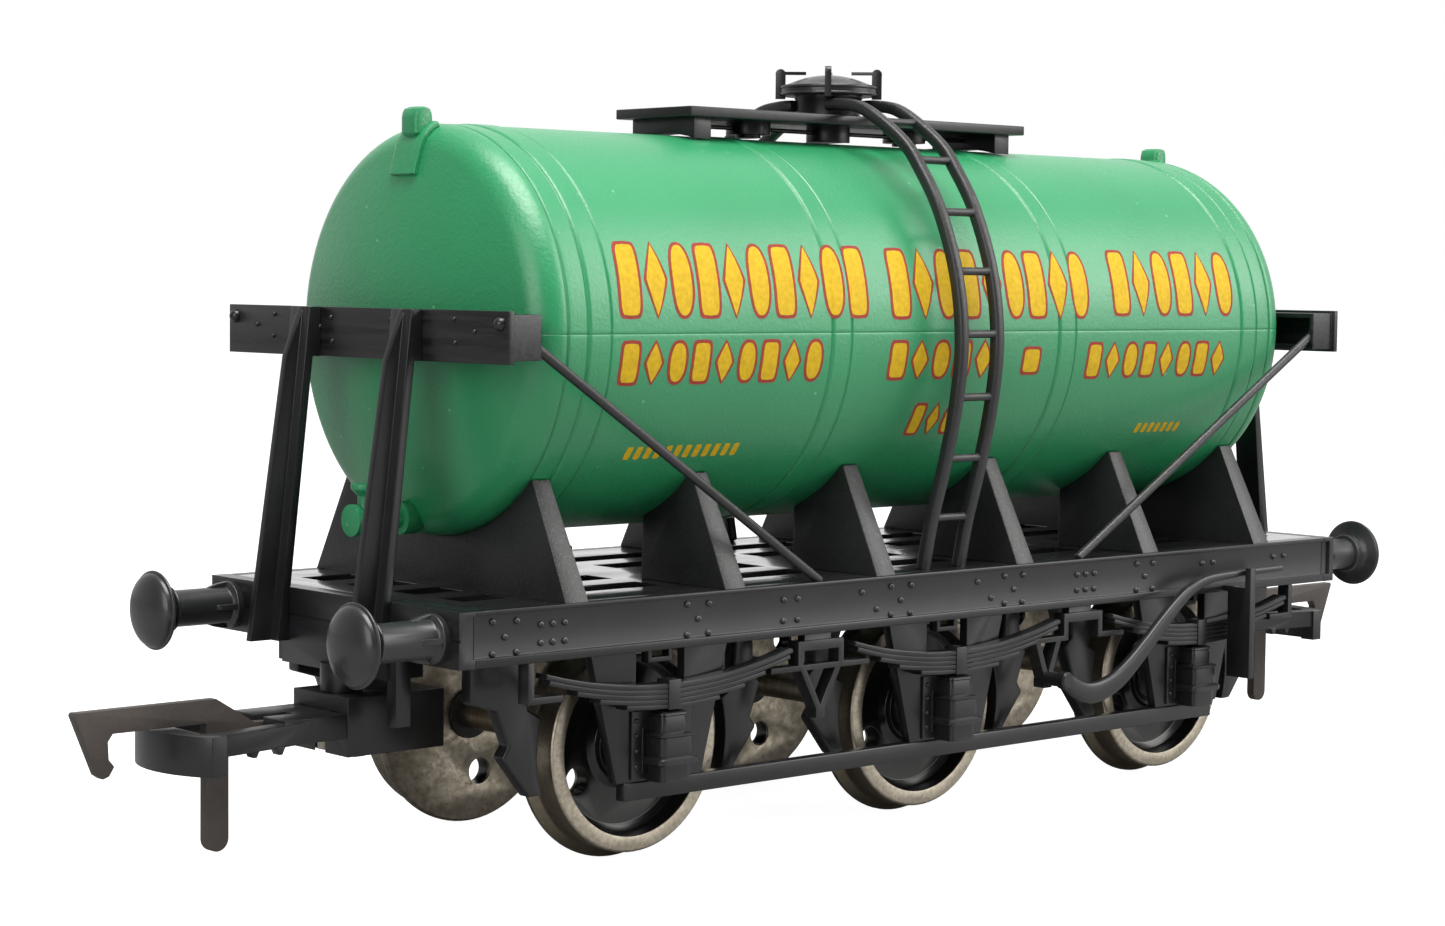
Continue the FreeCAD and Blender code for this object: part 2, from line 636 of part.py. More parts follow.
def manhole():
    """The flared neck, the domed lid with notches for its clamps, and the four clamps."""
    z0 = WALK_TOP + NECK_H
    tube = [(0.0, 0.0), (0.0, NECK_FOOT_R), (NECK_H, NECK_R), (NECK_H, 0.0)]
    neck = lathe(tube, (0, 0, WALK_TOP), (0, 0, 1))
    rim = LID_R - 0.15
    crown = [(LID_EDGE + LID_RISE * (1.0 - (k / LID_STEPS) ** 2), rim * k / LID_STEPS)
             for k in range(LID_STEPS, 0, -1)]
    profile = [(0.0, 0.0), (0.0, rim), (0.15, LID_R), (LID_EDGE - 0.15, LID_R)] + crown
    lid = lathe(profile + [(LID_EDGE + LID_RISE, 0.0)], (0, 0, z0), (0, 0, 1))
    clamps = [manhole_clamp(angle) for angle in CLAMP_ANGLES]
    room = LID_R - CLAMP_IN - SEAT_GAP
    side = CLAMP_W / 2.0 + SEAT_GAP
    for angle in CLAMP_ANGLES:
        notch = box(room, LID_R + 1.0, -side, side, z0 - 0.5, z0 + 2.0)
        notch.rotate(V(0, 0, 0), V(0, 0, 1), angle)
        lid = lid.cut(notch)
    return neck, lid, group(clamps)


def ladder_path():
    """The middle line of a left stile in the YZ plane, from the deck over the side of the tank."""
    path = [(-FRAME_HALF_W + inset, DECK_TOP + height) for inset, height in LADDER_FOOT]
    for angle, clearance in LADDER_BENDS:
        r = TANK_R + clearance
        a = math.radians(angle)
        path.append((-r * math.cos(a), TANK_Z + r * math.sin(a)))
    return path


def along_path(path, distance):
    """The point at a distance along a path from its start."""
    for (y0, z0), (y1, z1) in zip(path, path[1:]):
        step = math.hypot(y1 - y0, z1 - z0)
        if distance <= step:
            return y0 + (y1 - y0) * distance / step, z0 + (z1 - z0) * distance / step
        distance -= step
    return path[-1]


def ladder():
    """The ladder on the left side: two bent stiles and the rungs between them."""
    path = ladder_path()
    outline = ribbon(path, [STILE_D] * len(path))
    half = STILE_GAP / 2.0
    shapes = []
    for x in (-half, half):
        shapes.append(prism_yz(outline, x - STILE_D / 2.0, x + STILE_D / 2.0))
    length = sum(math.hypot(b[0] - a[0], b[1] - a[1]) for a, b in zip(path, path[1:]))
    count = int((length - RUNG_FIRST - RUNG_LAST) / RUNG_PITCH) + 1
    for number in range(count):
        y, z = along_path(path, RUNG_FIRST + number * RUNG_PITCH)
        shapes.append(rod(RUNG_D / 2.0, (-half, y, z), (half, y, z)))
    whole = joined(shapes)
    whole = whole.cut(box(-5, 5, -FAR, FAR, 0, DECK_TOP))
    return whole.cut(rod(NECK_R + SEAT_GAP, (0, 0, WALK_TOP - 5), (0, 0, WALK_TOP + 9)))


# ---- frame ----------------------------------------------------------------------------------

def deck():
    """The floor with its rows of slots between the saddles and at both ends."""
    floor = box(-DECK_HALF, DECK_HALF, -DECK_HALF_W, DECK_HALF_W, DECK_Z0, DECK_TOP)
    half = SADDLE_FOOT_T / 2.0
    bays = [(x0 + half + SLOT_END, x1 - half - SLOT_END) for x0, x1 in zip(SADDLE_X, SADDLE_X[1:])]
    for side in (-1, 1):
        bays.append((side * (END_SADDLE_X + half + END_SLOT_END), side * (DECK_HALF - END_SLOT_STOP)))
    first = -(SLOT_ROWS - 1) / 2.0 * SLAT_PITCH
    slots = []
    for start, end in bays:
        for row in range(SLOT_ROWS):
            y = first + row * SLAT_PITCH
            slots.append(box(start, end, y - SLOT_W / 2, y + SLOT_W / 2, DECK_Z0 - 1, DECK_TOP + 1))
    return floor.cut(slots)


def screw_seat():
    """The height of the underside of a coupling screw's head."""
    return POCKET_Z[0] + HEAD_SINK + SCREW_HEAD_H


def solebar():
    """The left solebar: a channel with its flanges outwards."""
    y0 = -FRAME_HALF_W
    z0 = FRAME_Z0 + SOLEBAR_LIP_BOTTOM
    z1 = DECK_TOP - SOLEBAR_LIP_TOP
    bar = box(-DECK_HALF, DECK_HALF, y0, -DECK_HALF_W, FRAME_Z0, DECK_TOP)
    return bar.cut(box(-DECK_HALF, DECK_HALF, y0 - 1, y0 + SOLEBAR_WEB_IN, z0, z1))


def headstock():
    """The front headstock: buffer holes, face crease, sides that carry on the solebars' channels, and
    the coupling's mount behind it."""
    bar = box(-BODY_HALF, -DECK_HALF, -FRAME_HALF_W, FRAME_HALF_W, FRAME_Z0, DECK_TOP)
    middle = (FRAME_Z0 + DECK_TOP) / 2.0
    crease = HEADSTOCK_CREASE / 2.0
    bar = bar.cut(box(-BODY_HALF - 1, -BODY_HALF + CREASE_DEPTH, -FAR, FAR, middle - crease, middle + crease))
    lip = -BODY_HALF + HEADSTOCK_LIP
    web = FRAME_HALF_W - SOLEBAR_WEB_IN
    z0 = FRAME_Z0 + SOLEBAR_LIP_BOTTOM
    z1 = DECK_TOP - SOLEBAR_LIP_TOP
    for side in (-1, 1):
        y = side * BUFFER_Y
        bar = bar.cut(box(lip, -DECK_HALF, side * web, side * (FRAME_HALF_W + 1), z0, z1))
        hole = rod(BUFFER_SPIGOT_R + SEAT_GAP, (-BODY_HALF - 1, y, BUFFER_Z), (-DECK_HALF + 1, y, BUFFER_Z))
        bar = bar.cut(hole)
    x = -COUPLING_PIVOT_X
    back, front = [-BODY_HALF + inset for inset in MOUNT_IN]
    block = box(-DECK_HALF, back, -MOUNT_HALF, MOUNT_HALF, MOUNT_Z0, DECK_Z0)
    under = box(front, back, -MOUNT_HALF, MOUNT_HALF, MOUNT_Z0, FRAME_Z0)
    boss = rod(BOSS_R, (x, 0, POCKET_Z[1] + RUN_GAP), (x, 0, MOUNT_Z0 + 0.5))
    stop = box(x - 0.5, x + 0.6, -MOUNT_HALF - STOP_W, -MOUNT_HALF + 0.1, STOP_Z0, FRAME_Z0)
    hole = rod(SCREW_R + SCREW_GAP, (x, 0, POCKET_Z[1] - 1), (x, 0, screw_seat() + SCREW_LEN + 0.1))
    return joined([bar, block, under, boss, stop]).cut(hole)


def buffer(side):
    """A front buffer: spigot, ribbed base, shank, collars, cone and a domed head with a thin rim."""
    r = BUFFER_SHANK_R
    head = BUFFER_LEN - BUFFER_HEAD_H
    dome = [(head + BUFFER_HEAD_H * math.sin(math.radians(90.0 * k / DOME_STEPS)),
             (BUFFER_HEAD_R - BUFFER_RIM) * math.cos(math.radians(90.0 * k / DOME_STEPS)))
            for k in range(DOME_STEPS)]
    profile = [(-HEADSTOCK_T, 0.0), (-HEADSTOCK_T, BUFFER_SPIGOT_R), (0.0, BUFFER_SPIGOT_R),
               (0.0, BUFFER_BASE_R), (BUFFER_BASE_T, BUFFER_BASE_R),
               (BUFFER_BASE_T + 0.15, r), (head - 1.2, r),
               (head - 1.1, r + BUFFER_COLLAR), (head - 0.85, r + BUFFER_COLLAR), (head - 0.75, r),
               (head - 0.3, BUFFER_HEAD_R - 0.3), (head - 0.2, BUFFER_HEAD_R), (head - 0.04, BUFFER_HEAD_R)]
    y = side * BUFFER_Y
    body = lathe(profile + dome + [(BUFFER_LEN, 0.0)], (-BODY_HALF, y, BUFFER_Z), (-1, 0, 0))
    ribs = []
    for angle in (0, 90, 180, 270):
        rib = box(-BODY_HALF - BUFFER_RIB_LEN, -BODY_HALF, y - BUFFER_RIB_HALF, y + BUFFER_RIB_HALF,
                  BUFFER_Z + BUFFER_SPIGOT_R, BUFFER_Z + BUFFER_BASE_R)
        rib.rotate(V(0, y, BUFFER_Z), V(1, 0, 0), angle)
        ribs.append(rib)
    return joined([body] + ribs)


# ---- end frames -----------------------------------------------------------------------------

def crossbeam(clear):
    """The front crossbeam: a channel open towards the tank, closed at both ends."""
    front = -BEAM_FACE + BEAM_PLATE_T
    back = -BEAM_FACE + BEAM_DEPTH
    face = box(-BEAM_FACE, front, -BEAM_HALF_W, BEAM_HALF_W, BEAM_Z0, BEAM_Z1)
    z0 = BEAM_Z0 + BEAM_EDGE
    z1 = BEAM_Z1 - BEAM_EDGE
    side = BEAM_HALF_W - BEAM_SIDE
    block = box(front, back, -side, side, z0, z1)
    side -= BEAM_LIP
    hollow = box(front, back + 1, -side, side, z0 + BEAM_LIP, z1 - BEAM_LIP)
    return joined([face, block.cut(hollow).cut(clear)])


def post(side):
    """One leaning T-section post of the front end frame."""
    top = BEAM_FACE + POST_TOP
    foot = BODY_HALF + POST_FOOT
    run = (foot - top) / (BEAM_Z1 - FRAME_Z0)

    def outer(z):
        return top + (BEAM_Z1 - z) * run

    y = side * POST_Y
    flange = [(-top, BEAM_Z1), (-BEAM_FACE, BEAM_Z1), (-BEAM_FACE, BEAM_Z0),
              (-outer(BEAM_Z0) + POST_T, BEAM_Z0), (-outer(DECK_TOP) + POST_T, DECK_TOP),
              (-BODY_HALF, DECK_TOP), (-BODY_HALF, FRAME_Z0), (-foot, FRAME_Z0)]
    web = [(-top, BEAM_Z1), (-BEAM_FACE - POST_WEB_TOP, BEAM_Z0), (-BODY_HALF - POST_WEB_FOOT, FRAME_Z0),
           (-foot, FRAME_Z0)]
    half = POST_W / 2.0
    rib = POST_WEB_T / 2.0
    return joined([prism_xz(flange, y - half, y + half), prism_xz(web, y - rib, y + rib)])


def tie_rod(end, side):
    """One diagonal tie from the end of a crossbeam down to the top of the solebar."""
    top_x = BEAM_FACE - TIE_IN
    top_y = BEAM_HALF_W - TIE_SIDE
    top_z = TANK_Z - TIE_DROP
    wall = BEAM_HALF_W - BEAM_SIDE - BEAM_LIP
    a = V(end * top_x, side * top_y, top_z)
    b = V(end * TIE_FOOT_X, side * (FRAME_HALF_W - TIE_FOOT_IN), DECK_TOP)
    past = b + (b - a) * TIE_PAST
    bar = rod(TIE_D / 2.0, tuple(a), tuple(past))
    bar = bar.cut(box(-FAR, FAR, -FAR, FAR, 0, DECK_TOP))
    tab = box(end * (top_x - TAB_X[0]), end * (top_x + TAB_X[1]), side * (top_y - 0.1), side * wall,
              top_z - TAB_HALF, top_z + TAB_HALF)
    above = box(-FAR, FAR, side * wall, side * FAR, BEAM_Z0, FAR)
    return joined([bar, tab]).cut(above)


# ---- axleguards and what hangs on them --------------------------------------------------------

def bearing(x, middle):
    """The hole for an axle end on the left side."""
    if middle:
        end = -JOURNAL_HALF - FLOAT - RUN_GAP
        return rod(JOURNAL_R + RUN_GAP, (x, -GUARD_BACK + 1, AXLE_Z), (x, end, AXLE_Z))
    tip = AXLE_HALF + RUN_GAP
    root = AXLE_HALF - POINT_LEN + RUN_GAP
    wide = AXLE_R + RUN_GAP
    profile = [(root - 1.0, 0.0), (root - 1.0, wide), (root, wide), (tip, 0.12), (tip, 0.0)]
    return lathe(profile, (x, 0, AXLE_Z), (0, -1, 0))


def axleguard(x):
    """A tapering plate with a window and a small clip above the axlebox, on the left side."""
    slope = (GUARD_TOP_HALF - GUARD_FOOT_HALF) / (FRAME_Z0 - KEEPER_Z1)
    top = GUARD_TOP_HALF + slope * (DECK_Z0 - FRAME_Z0)
    outline = [(x - top, DECK_Z0), (x + top, DECK_Z0), (x + GUARD_FOOT_HALF, KEEPER_Z1),
               (x - GUARD_FOOT_HALF, KEEPER_Z1)]
    plate = prism_xz(outline, -GUARD_Y, -GUARD_BACK)
    half = GUARD_WINDOW_HALF
    window = box(x - half, x + half, -FAR, 0, GUARD_WINDOW_Z, FRAME_Z0)
    low = FRAME_Z0 - CLIP_H
    inside = CLIP_HALF - CLIP_T
    clip = box(x - CLIP_HALF, x + CLIP_HALF, -GUARD_Y, -GUARD_BACK, low, FRAME_Z0)
    clip = clip.cut(box(x - inside, x + inside, -FAR, 0, low + CLIP_T, FAR))
    return joined([plate.cut([window, bearing(x, x == 0.0)]), clip])


def axlebox(x):
    """An axlebox: backing plate, body, cover lip and sloping top, on the left side."""
    back = -GUARD_Y
    front = -BOX_FRONT
    lip0, lip1 = BOX_LIP_Z
    plate = BOX_PLATE_HALF
    lip = BOX_HALF + BOX_LIP
    shapes = [
        box(x - plate, x + plate, back, back - BOX_PLATE_T, KEEPER_Z1 + 0.3, BOX_Z1 - 0.05),
        box(x - BOX_HALF, x + BOX_HALF, back, front + 0.2, KEEPER_Z1 + 0.05, lip0),
        box(x - lip, x + lip, back, front - 0.2, lip0, lip1),
        box(x - BOX_HALF, x + BOX_HALF, back, front, lip1, BOX_SHOULDER_Z),
    ]
    slope = [(back, BOX_SHOULDER_Z), (front + 0.1, BOX_SHOULDER_Z), (front + 0.6, BOX_Z1), (back, BOX_Z1)]
    shapes.append(prism_yz(slope, x - BOX_TOP_HALF, x + BOX_TOP_HALF))
    return joined(shapes).cut(bearing(x, x == 0.0))


def leaf(x, level, y0, y1, inset):
    """One leaf of a spring as a curved strip."""
    radius = (SPRING_HALF ** 2 + SPRING_RISE ** 2) / (2.0 * SPRING_RISE)
    centre = SPRING_Z + radius
    outer = radius + (level + 1) * LEAF_PITCH - inset
    inner = radius + level * LEAF_PITCH + inset
    angle = math.asin((SPRING_HALF - LEAF_STEPS[level]) / radius)

    def at(r, a):
        return V(x + r * math.sin(a), y0, centre - r * math.cos(a))

    low = Part.Arc(at(outer, -angle), at(outer, 0.0), at(outer, angle)).toShape()
    high = Part.Arc(at(inner, angle), at(inner, 0.0), at(inner, -angle)).toShape()
    right = Part.makeLine(at(outer, angle), at(inner, angle))
    left = Part.makeLine(at(inner, -angle), at(outer, -angle))
    face = Part.Face(Part.Wire([low, right, high, left]))
    return face.extrude(V(0, y1 - y0, 0))


def spring(x):
    """A leaf spring with its buckle, on the left side."""
    back = -GUARD_Y - SPRING_OUT
    front = back - SPRING_W
    shapes = []
    for level in range(len(LEAF_STEPS)):
        shapes.append(leaf(x, level, back, front, LEAF_GROOVE / 2.0))
        shapes.append(leaf(x, level, back, front + 0.15, 0.0))
    shapes.append(box(x - BUCKLE_HALF, x + BUCKLE_HALF, back, front - BUCKLE_PROUD, BOX_Z1, SPRING_Z + 0.25))
    return joined(shapes)


def keeper_bar():
    """The bar that ties the feet of the left axleguards together."""
    half = AXLE_SPACING + KEEPER_PAST
    front = -GUARD_Y - 0.05
    return box(-half, half, front, front + KEEPER_T, KEEPER_Z0, KEEPER_Z1)


def strap_xz(points, width, y0, y1):
    """A bent strap of constant width in the XZ plane."""
    return prism_xz(ribbon(points, [width] * len(points)), y0, y1)


def hat_bracket(x, v_x, v_half):
    """One hat-shaped bracket with its V hanger, under the left solebar."""
    y1 = -FRAME_HALF_W
    y0 = y1 + HANGER_W
    half = HANGER_HALF - STRAP / 2.0
    z0 = HANGER_FOOT_Z
    z1 = HANGER_FOOT_Z + HANGER_FOOT_T
    shapes = [box(x - HANGER_HALF, x + HANGER_HALF, y0, y1, HANGER_Z1 - HANGER_BAR, HANGER_Z1)]
    neck = HANGER_NECK_HALF
    shapes.append(box(x - neck, x + neck, y0, y1 + HANGER_NECK_IN, HANGER_Z1 - HANGER_BAR, FRAME_Z0))
    for s in (-1, 1):
        shapes.append(box(x + s * half - STRAP / 2, x + s * half + STRAP / 2, y0, y1, z0, HANGER_Z1))
        shapes.append(box(x + s * HANGER_FOOT, x + s * half, y0, y1, z0, z1))
        shapes.append(strap_xz([(v_x + s * (v_half - 0.25), z0 + 0.2), (v_x, V_FOOT_Z)], STRAP, y0, y1))
    shapes.append(box(v_x - 0.4, v_x + 0.4, y0, y1, V_FOOT_Z - 0.35, V_FOOT_Z + 0.3))
    shapes.append(box(v_x - v_half, v_x + v_half, y0, y1, z0, z1))
    return joined(shapes)


def hangers():
    """The hat brackets, V hangers and end brackets of the left side."""
    middle = AXLE_SPACING / 2.0
    shapes = [hat_bracket(-middle, -middle, V_HALF), hat_bracket(middle, LEVER_V_X, LEVER_V_HALF)]
    y1 = -FRAME_HALF_W
    y0 = y1 + HANGER_W
    low, high = END_BRACKET_Z
    for end in (-1, 1):
        x = end * (AXLE_SPACING + END_BRACKET_PAST)
        leg = box(x - STRAP / 2, x + STRAP / 2, y0, y1, low, FRAME_Z0)
        foot = box(x, x - end * END_BRACKET_FOOT, y0, y1, low, high)
        shapes.append(joined([leg, foot]))
    return shapes


def brake_shoe(x, end, side, depth):
    """A shoe facing the tread, with its hanger up to the deck; depth is the hanger's reach in X."""
    inner = TREAD_R + SHOE_GAP
    turn = math.radians(SHOE_HALF_ANGLE)
    arc = [turn * (2.0 * k / SHOE_STEPS - 1.0) for k in range(SHOE_STEPS + 1)]
    edge = [(inner * math.cos(a), inner * math.sin(a)) for a in arc]
    tip = inner * math.sin(turn)
    apex = TREAD_R + SHOE_APEX
    top = DECK_Z0 - AXLE_Z
    outline = edge + [(depth[0] - 0.2, BLOCK_Z - 0.7), (depth[0], top), (depth[1], top), (depth[1], BLOCK_Z),
                      (apex + 0.4, BLOCK_Z - 0.6), (apex - 0.5, 0.9), (apex, 0.2), (inner + 0.6, -tip)]
    y0 = WHEEL_BACK + FLANGE_T + SHOE_TREAD[0]
    y1 = WHEEL_FACE - SHOE_TREAD[1]
    points = [(x + end * d, AXLE_Z + h) for d, h in outline]
    return prism_xz(points, side * y0, side * y1)


def brake_shoes():
    """A shoe and its hanger on each side of every wheel."""
    shapes = []
    for x in AXLE_X:
        for end in (-1, 1):
            for side in (-1, 1):
                depth = BLOCK_D if x * end > 0 else ARM_D
                shapes.append(brake_shoe(x, end, side, depth))
    return group(shapes)


def brake_lever():
    """The left brake lever with the boss it turns on."""
    path = [(LEVER_V_X + x, z) for x, z, w in LEVER_PATH]
    outline = ribbon(path, [w for x, z, w in LEVER_PATH])
    blade = prism_xz(outline, -LEVER_Y - LEVER_T, -LEVER_Y)
    x, z = path[0]
    eye = rod(LEVER_PATH[0][2] / 2.0, (x, -LEVER_Y - LEVER_T, z), (x, -LEVER_Y, z))
    boss = rod(LEVER_BOSS_R, (x, -LEVER_Y - 0.1, z), (x, -FRAME_HALF_W, z))
    return joined([blade, eye, boss])


def lever_guard():
    """The guard that the left brake lever passes through."""
    middle = LEVER_V_X + LEVER_GUARD_PAST
    x0 = middle - LEVER_GUARD_T / 2.0
    x1 = middle + LEVER_GUARD_T / 2.0
    out = -LEVER_Y - LEVER_T
    inner = -GUARD_Y - SPRING_OUT - SPRING_W - 0.12
    web = box(x0, x0 + LEVER_GUARD_WEB, inner, out - 0.1, LEVER_GUARD_Z0, FRAME_Z0 + 0.45)
    strip = box(x0, x1, out - 0.1, out - LEVER_GUARD_STRIP - 0.1, LEVER_GUARD_Z0, LEVER_GUARD_Z1)
    foot = box(x0, x1, inner, out - 0.1, LEVER_GUARD_Z0, LEVER_GUARD_Z0 + LEVER_GUARD_FOOT)
    arm = box(x0, x1, -FRAME_HALF_W, -LEVER_Y + 0.15, FRAME_Z0 + 0.1, FRAME_Z0 + 0.5)
    return joined([web, strip, foot, arm])


# ---- wheels -------------------------------------------------------------------------------

def axle(x, middle):
    """An axle with pinpoints, or with plain journals in the middle of the wagon."""
    if middle:
        shoulder = GUARD_BACK - FLOAT - 0.1
        profile = [(-JOURNAL_HALF, 0.0), (-JOURNAL_HALF, JOURNAL_R), (-shoulder, JOURNAL_R),
                   (-shoulder, AXLE_R), (shoulder, AXLE_R), (shoulder, JOURNAL_R),
                   (JOURNAL_HALF, JOURNAL_R), (JOURNAL_HALF, 0.0)]
    else:
        root = AXLE_HALF - POINT_LEN
        profile = [(-AXLE_HALF, 0.0), (-AXLE_HALF, 0.06), (-root, AXLE_R), (root, AXLE_R), (AXLE_HALF, 0.06),
                   (AXLE_HALF, 0.0)]
    return lathe(profile, (x, 0, AXLE_Z), (0, 1, 0))


def wheel(x, side):
    """A wheel: flange, tread, tyre, dished disc with three holes, and hub."""
    bore = BUSH_R + SEAT_GAP
    b = WHEEL_BACK
    profile = [(b, bore), (b, TYRE_IN_R), (b, FLANGE_R - 0.15), (b + 0.2, FLANGE_R), (b + 0.45, FLANGE_R),
               (b + FLANGE_T, TREAD_R + 0.12), (b + FLANGE_T + 0.15, TREAD_R),
               (WHEEL_FACE - 0.12, TREAD_R - 0.05), (WHEEL_FACE, TREAD_R - 0.17), (WHEEL_FACE, TYRE_IN_R),
               (b + DISC_T + 0.35, TYRE_IN_R - 0.15),
               (b + DISC_T, TYRE_IN_R - 0.6), (b + DISC_T, HUB_R + 0.5), (b + DISC_T + 0.3, HUB_R),
               (b + DISC_T + 0.7, HUB_R - 0.1), (b + DISC_T + 0.7, bore)]
    shape = lathe(profile, (x, 0, AXLE_Z), (0, side, 0))
    holes = []
    for k in range(3):
        a = math.radians(HOLE_TURN[side] + 120 * k)
        hx = x + WHEEL_HOLE_PITCH_R * math.cos(a)
        hz = AXLE_Z + WHEEL_HOLE_PITCH_R * math.sin(a)
        holes.append(rod(WHEEL_HOLE_R, (hx, side * (b - 1), hz), (hx, side * (WHEEL_FACE + 1), hz)))
    return shape.cut(holes)


def bush(x, side, gap):
    """The insulating bush inside a wheel's hub."""
    start = WHEEL_BACK - BUSH_PROUD
    end = start + BUSH_LEN
    profile = [(start, AXLE_R + gap), (start, BUSH_R), (end, BUSH_R), (end, AXLE_R + gap)]
    return lathe(profile, (x, 0, AXLE_Z), (0, side, 0))


# ---- couplings ------------------------------------------------------------------------------

def coupling_pocket():
    """The front coupling's swinging pocket, with its screw hole and two sockets."""
    x = -COUPLING_PIVOT_X
    back, front = [-reach for reach in POCKET_X]
    block = box(front, back, -POCKET_HALF, POCKET_HALF, POCKET_Z[0], POCKET_Z[1])
    cuts = [rod(SCREW_R + RUN_GAP, (x, 0, 5), (x, 0, POCKET_Z[1] + 1)),
            rod(SCREW_HEAD_R + 0.08, (x, 0, 5), (x, 0, screw_seat() + RUN_GAP))]
    g = SEAT_GAP
    for side in (-1, 1):
        cuts.append(box(front - 1, front + PRONG_LEN + 0.2, side * (PRONG_Y[0] - g),
                        side * (PRONG_Y[1] + g), PRONG_Z[0] - g, PRONG_Z[1] + g))
    return block.cut(cuts)


def coupling():
    """The front coupling: prongs, shank, flared arms, bumper bar and the hook's pin."""
    start = -POCKET_X[1]
    root = -BODY_HALF - ARM_ROOT
    corner = -BODY_HALF - BAR_CORNER
    back = -BODY_HALF - BAR_BACK
    wide = POCKET_HALF - 0.05
    shapes = [box(-BODY_HALF - SHANK_OUT, start - SEAT_GAP, -wide, wide, ARM_Z0, PRONG_Z[1])]
    for side in (-1, 1):
        shapes.append(box(start - 0.5, start + PRONG_LEN, side * PRONG_Y[0], side * PRONG_Y[1],
                          PRONG_Z[0], PRONG_Z[1]))
        arm = [(root, side * wide), (corner, side * BAR_HALF), (corner, side * (BAR_HALF - ARM_T)),
               (root, side * (POCKET_HALF - ARM_T))]
        shapes.append(prism_xy(arm, ARM_Z0, BAR_Z[1]))
        for out in ARM_RIBS:
            x = -BODY_HALF - out
            rib = [(x - 0.35, ARM_Z0 + 0.1), (x + 0.35, ARM_Z0 + 0.1), (x + 0.12, ARM_Z0 - ARM_RIB_H),
                   (x - 0.12, ARM_Z0 - ARM_RIB_H)]
            y = side * (BAR_HALF - ARM_T + 0.05)
            shapes.append(prism_xz(rib, y - 0.35, y + 0.35))
    z0, z1 = BAR_Z
    horn = back + BAR_HORN
    inner = BAR_HALF - ARM_T
    behind = [V(corner, BAR_HALF, z0), V(horn, BAR_HALF, z0), V(horn, inner, z0), V(back, inner - 0.5, z0),
              V(back, 0.5 - inner, z0), V(horn, -inner, z0), V(horn, -BAR_HALF, z0), V(corner, -BAR_HALF, z0)]
    nose = Part.Arc(behind[-1], V(-BODY_HALF - BAR_NOSE, 0, z0), behind[0]).toShape()
    shapes.append(Part.Face(Part.Wire([nose] + Part.makePolygon(behind).Edges)).extrude(V(0, 0, z1 - z0)))
    whole = joined(shapes)
    slot = box(back + 0.01, -BODY_HALF - HOOK_SLOT_START, -HOOK_SLOT_HALF, HOOK_SLOT_HALF, 0, 20)
    whole = whole.cut(slot)
    px = -BODY_HALF - HOOK_PIVOT[0]
    pz = HOOK_PIVOT[1]
    pin = rod(HOOK_PIN_R, (px, -HOOK_SLOT_HALF - 0.3, pz), (px, HOOK_SLOT_HALF + 0.3, pz))
    return joined([whole, pin])


def coupling_hook():
    """The front hook plate: nose, barb, top edge and the dropper tail."""
    px = -BODY_HALF - HOOK_PIVOT[0]
    pz = HOOK_PIVOT[1]
    x0 = -BODY_HALF - TAIL_X[0]
    x1 = -BODY_HALF - TAIL_X[1]
    r = (x0 - x1) / 2.0
    middle = (x0 + x1) / 2.0
    foot_z = TAIL_Z0 + r
    under = BAR_Z[1] + HOOK_LIFT
    heel = px + 0.95
    outline = [(heel, pz - 0.6), (heel, pz + 0.55), (px - 1.1, pz + 0.6)]
    outline += [(-BODY_HALF - out, under + up) for out, up in HOOK_NOSE]
    outline += [(x1, under), (x1, foot_z), (x0, foot_z), (x0, pz - 0.6)]
    plate = prism_xz(outline, -HOOK_T / 2.0, HOOK_T / 2.0)
    foot = rod(r, (middle, -HOOK_T / 2.0, foot_z), (middle, HOOK_T / 2.0, foot_z))
    hole = rod(HOOK_PIN_R + RUN_GAP, (px, -5, pz), (px, 5, pz))
    return joined([plate, foot]).cut(hole)


# ---- build every node -------------------------------------------------------------------------

def build_tank():
    """The tank, its fittings and its saddles."""
    upper, lower, ballast_z = tank_shells()
    export(upper, "tank_upper_shell")
    export(lower, "tank_lower_shell")
    top = ballast_z + BALLAST_T
    weight = box(-BALLAST_HALF, BALLAST_HALF, -BALLAST_W / 2, BALLAST_W / 2, ballast_z, top)
    for x in (-RIB_X, RIB_X):
        weight = weight.cut(rod(SCREW_R + SCREW_GAP, (x, 0, ballast_z - 1), (x, 0, top + 1)))
    export(weight, "ballast_weight")
    screws = [screw(x, top, False) for x in (-RIB_X, RIB_X)]
    screws += [screw(x, screw_seat(), True) for x in (-COUPLING_PIVOT_X, COUPLING_PIVOT_X)]
    export(group(screws), "screws")
    export(outlet_valve(tank_form(-SEAT_GAP)), "outlet_valve")
    for number, x in enumerate(SADDLE_X, 1):
        export(saddle(x), "saddle_%d" % number)
    export(walkway(), "walkway")
    export(walkway_supports(), "walkway_supports")
    neck, lid, clamps = manhole()
    export(neck, "manhole_neck")
    export(lid, "manhole_lid")
    export(clamps, "manhole_clamps")
    left = ladder()
    export(left, "ladder_left")
    export(turned(left), "ladder_right")


def build_frame():
    """The deck, solebars, headstocks, buffers and end frames."""
    export(deck(), "deck")
    export(solebar(), "solebar_left")
    export(turned(solebar()), "solebar_right")
    export(headstock(), "headstock_front")
    export(turned(headstock()), "headstock_rear")
    export(buffer(-1), "buffer_front_left")
    export(buffer(1), "buffer_front_right")
    export(turned(buffer(1)), "buffer_rear_left")
    export(turned(buffer(-1)), "buffer_rear_right")
    beam = crossbeam(tank_form(-DOME_GAP))
    export(beam, "crossbeam_front")
    export(turned(beam), "crossbeam_rear")
    posts = group([post(-1), post(1)])
    export(posts, "posts_front")
    export(turned(posts), "posts_rear")
    export(group([tie_rod(e, s) for e in (-1, 1) for s in (-1, 1)]), "tie_rods")


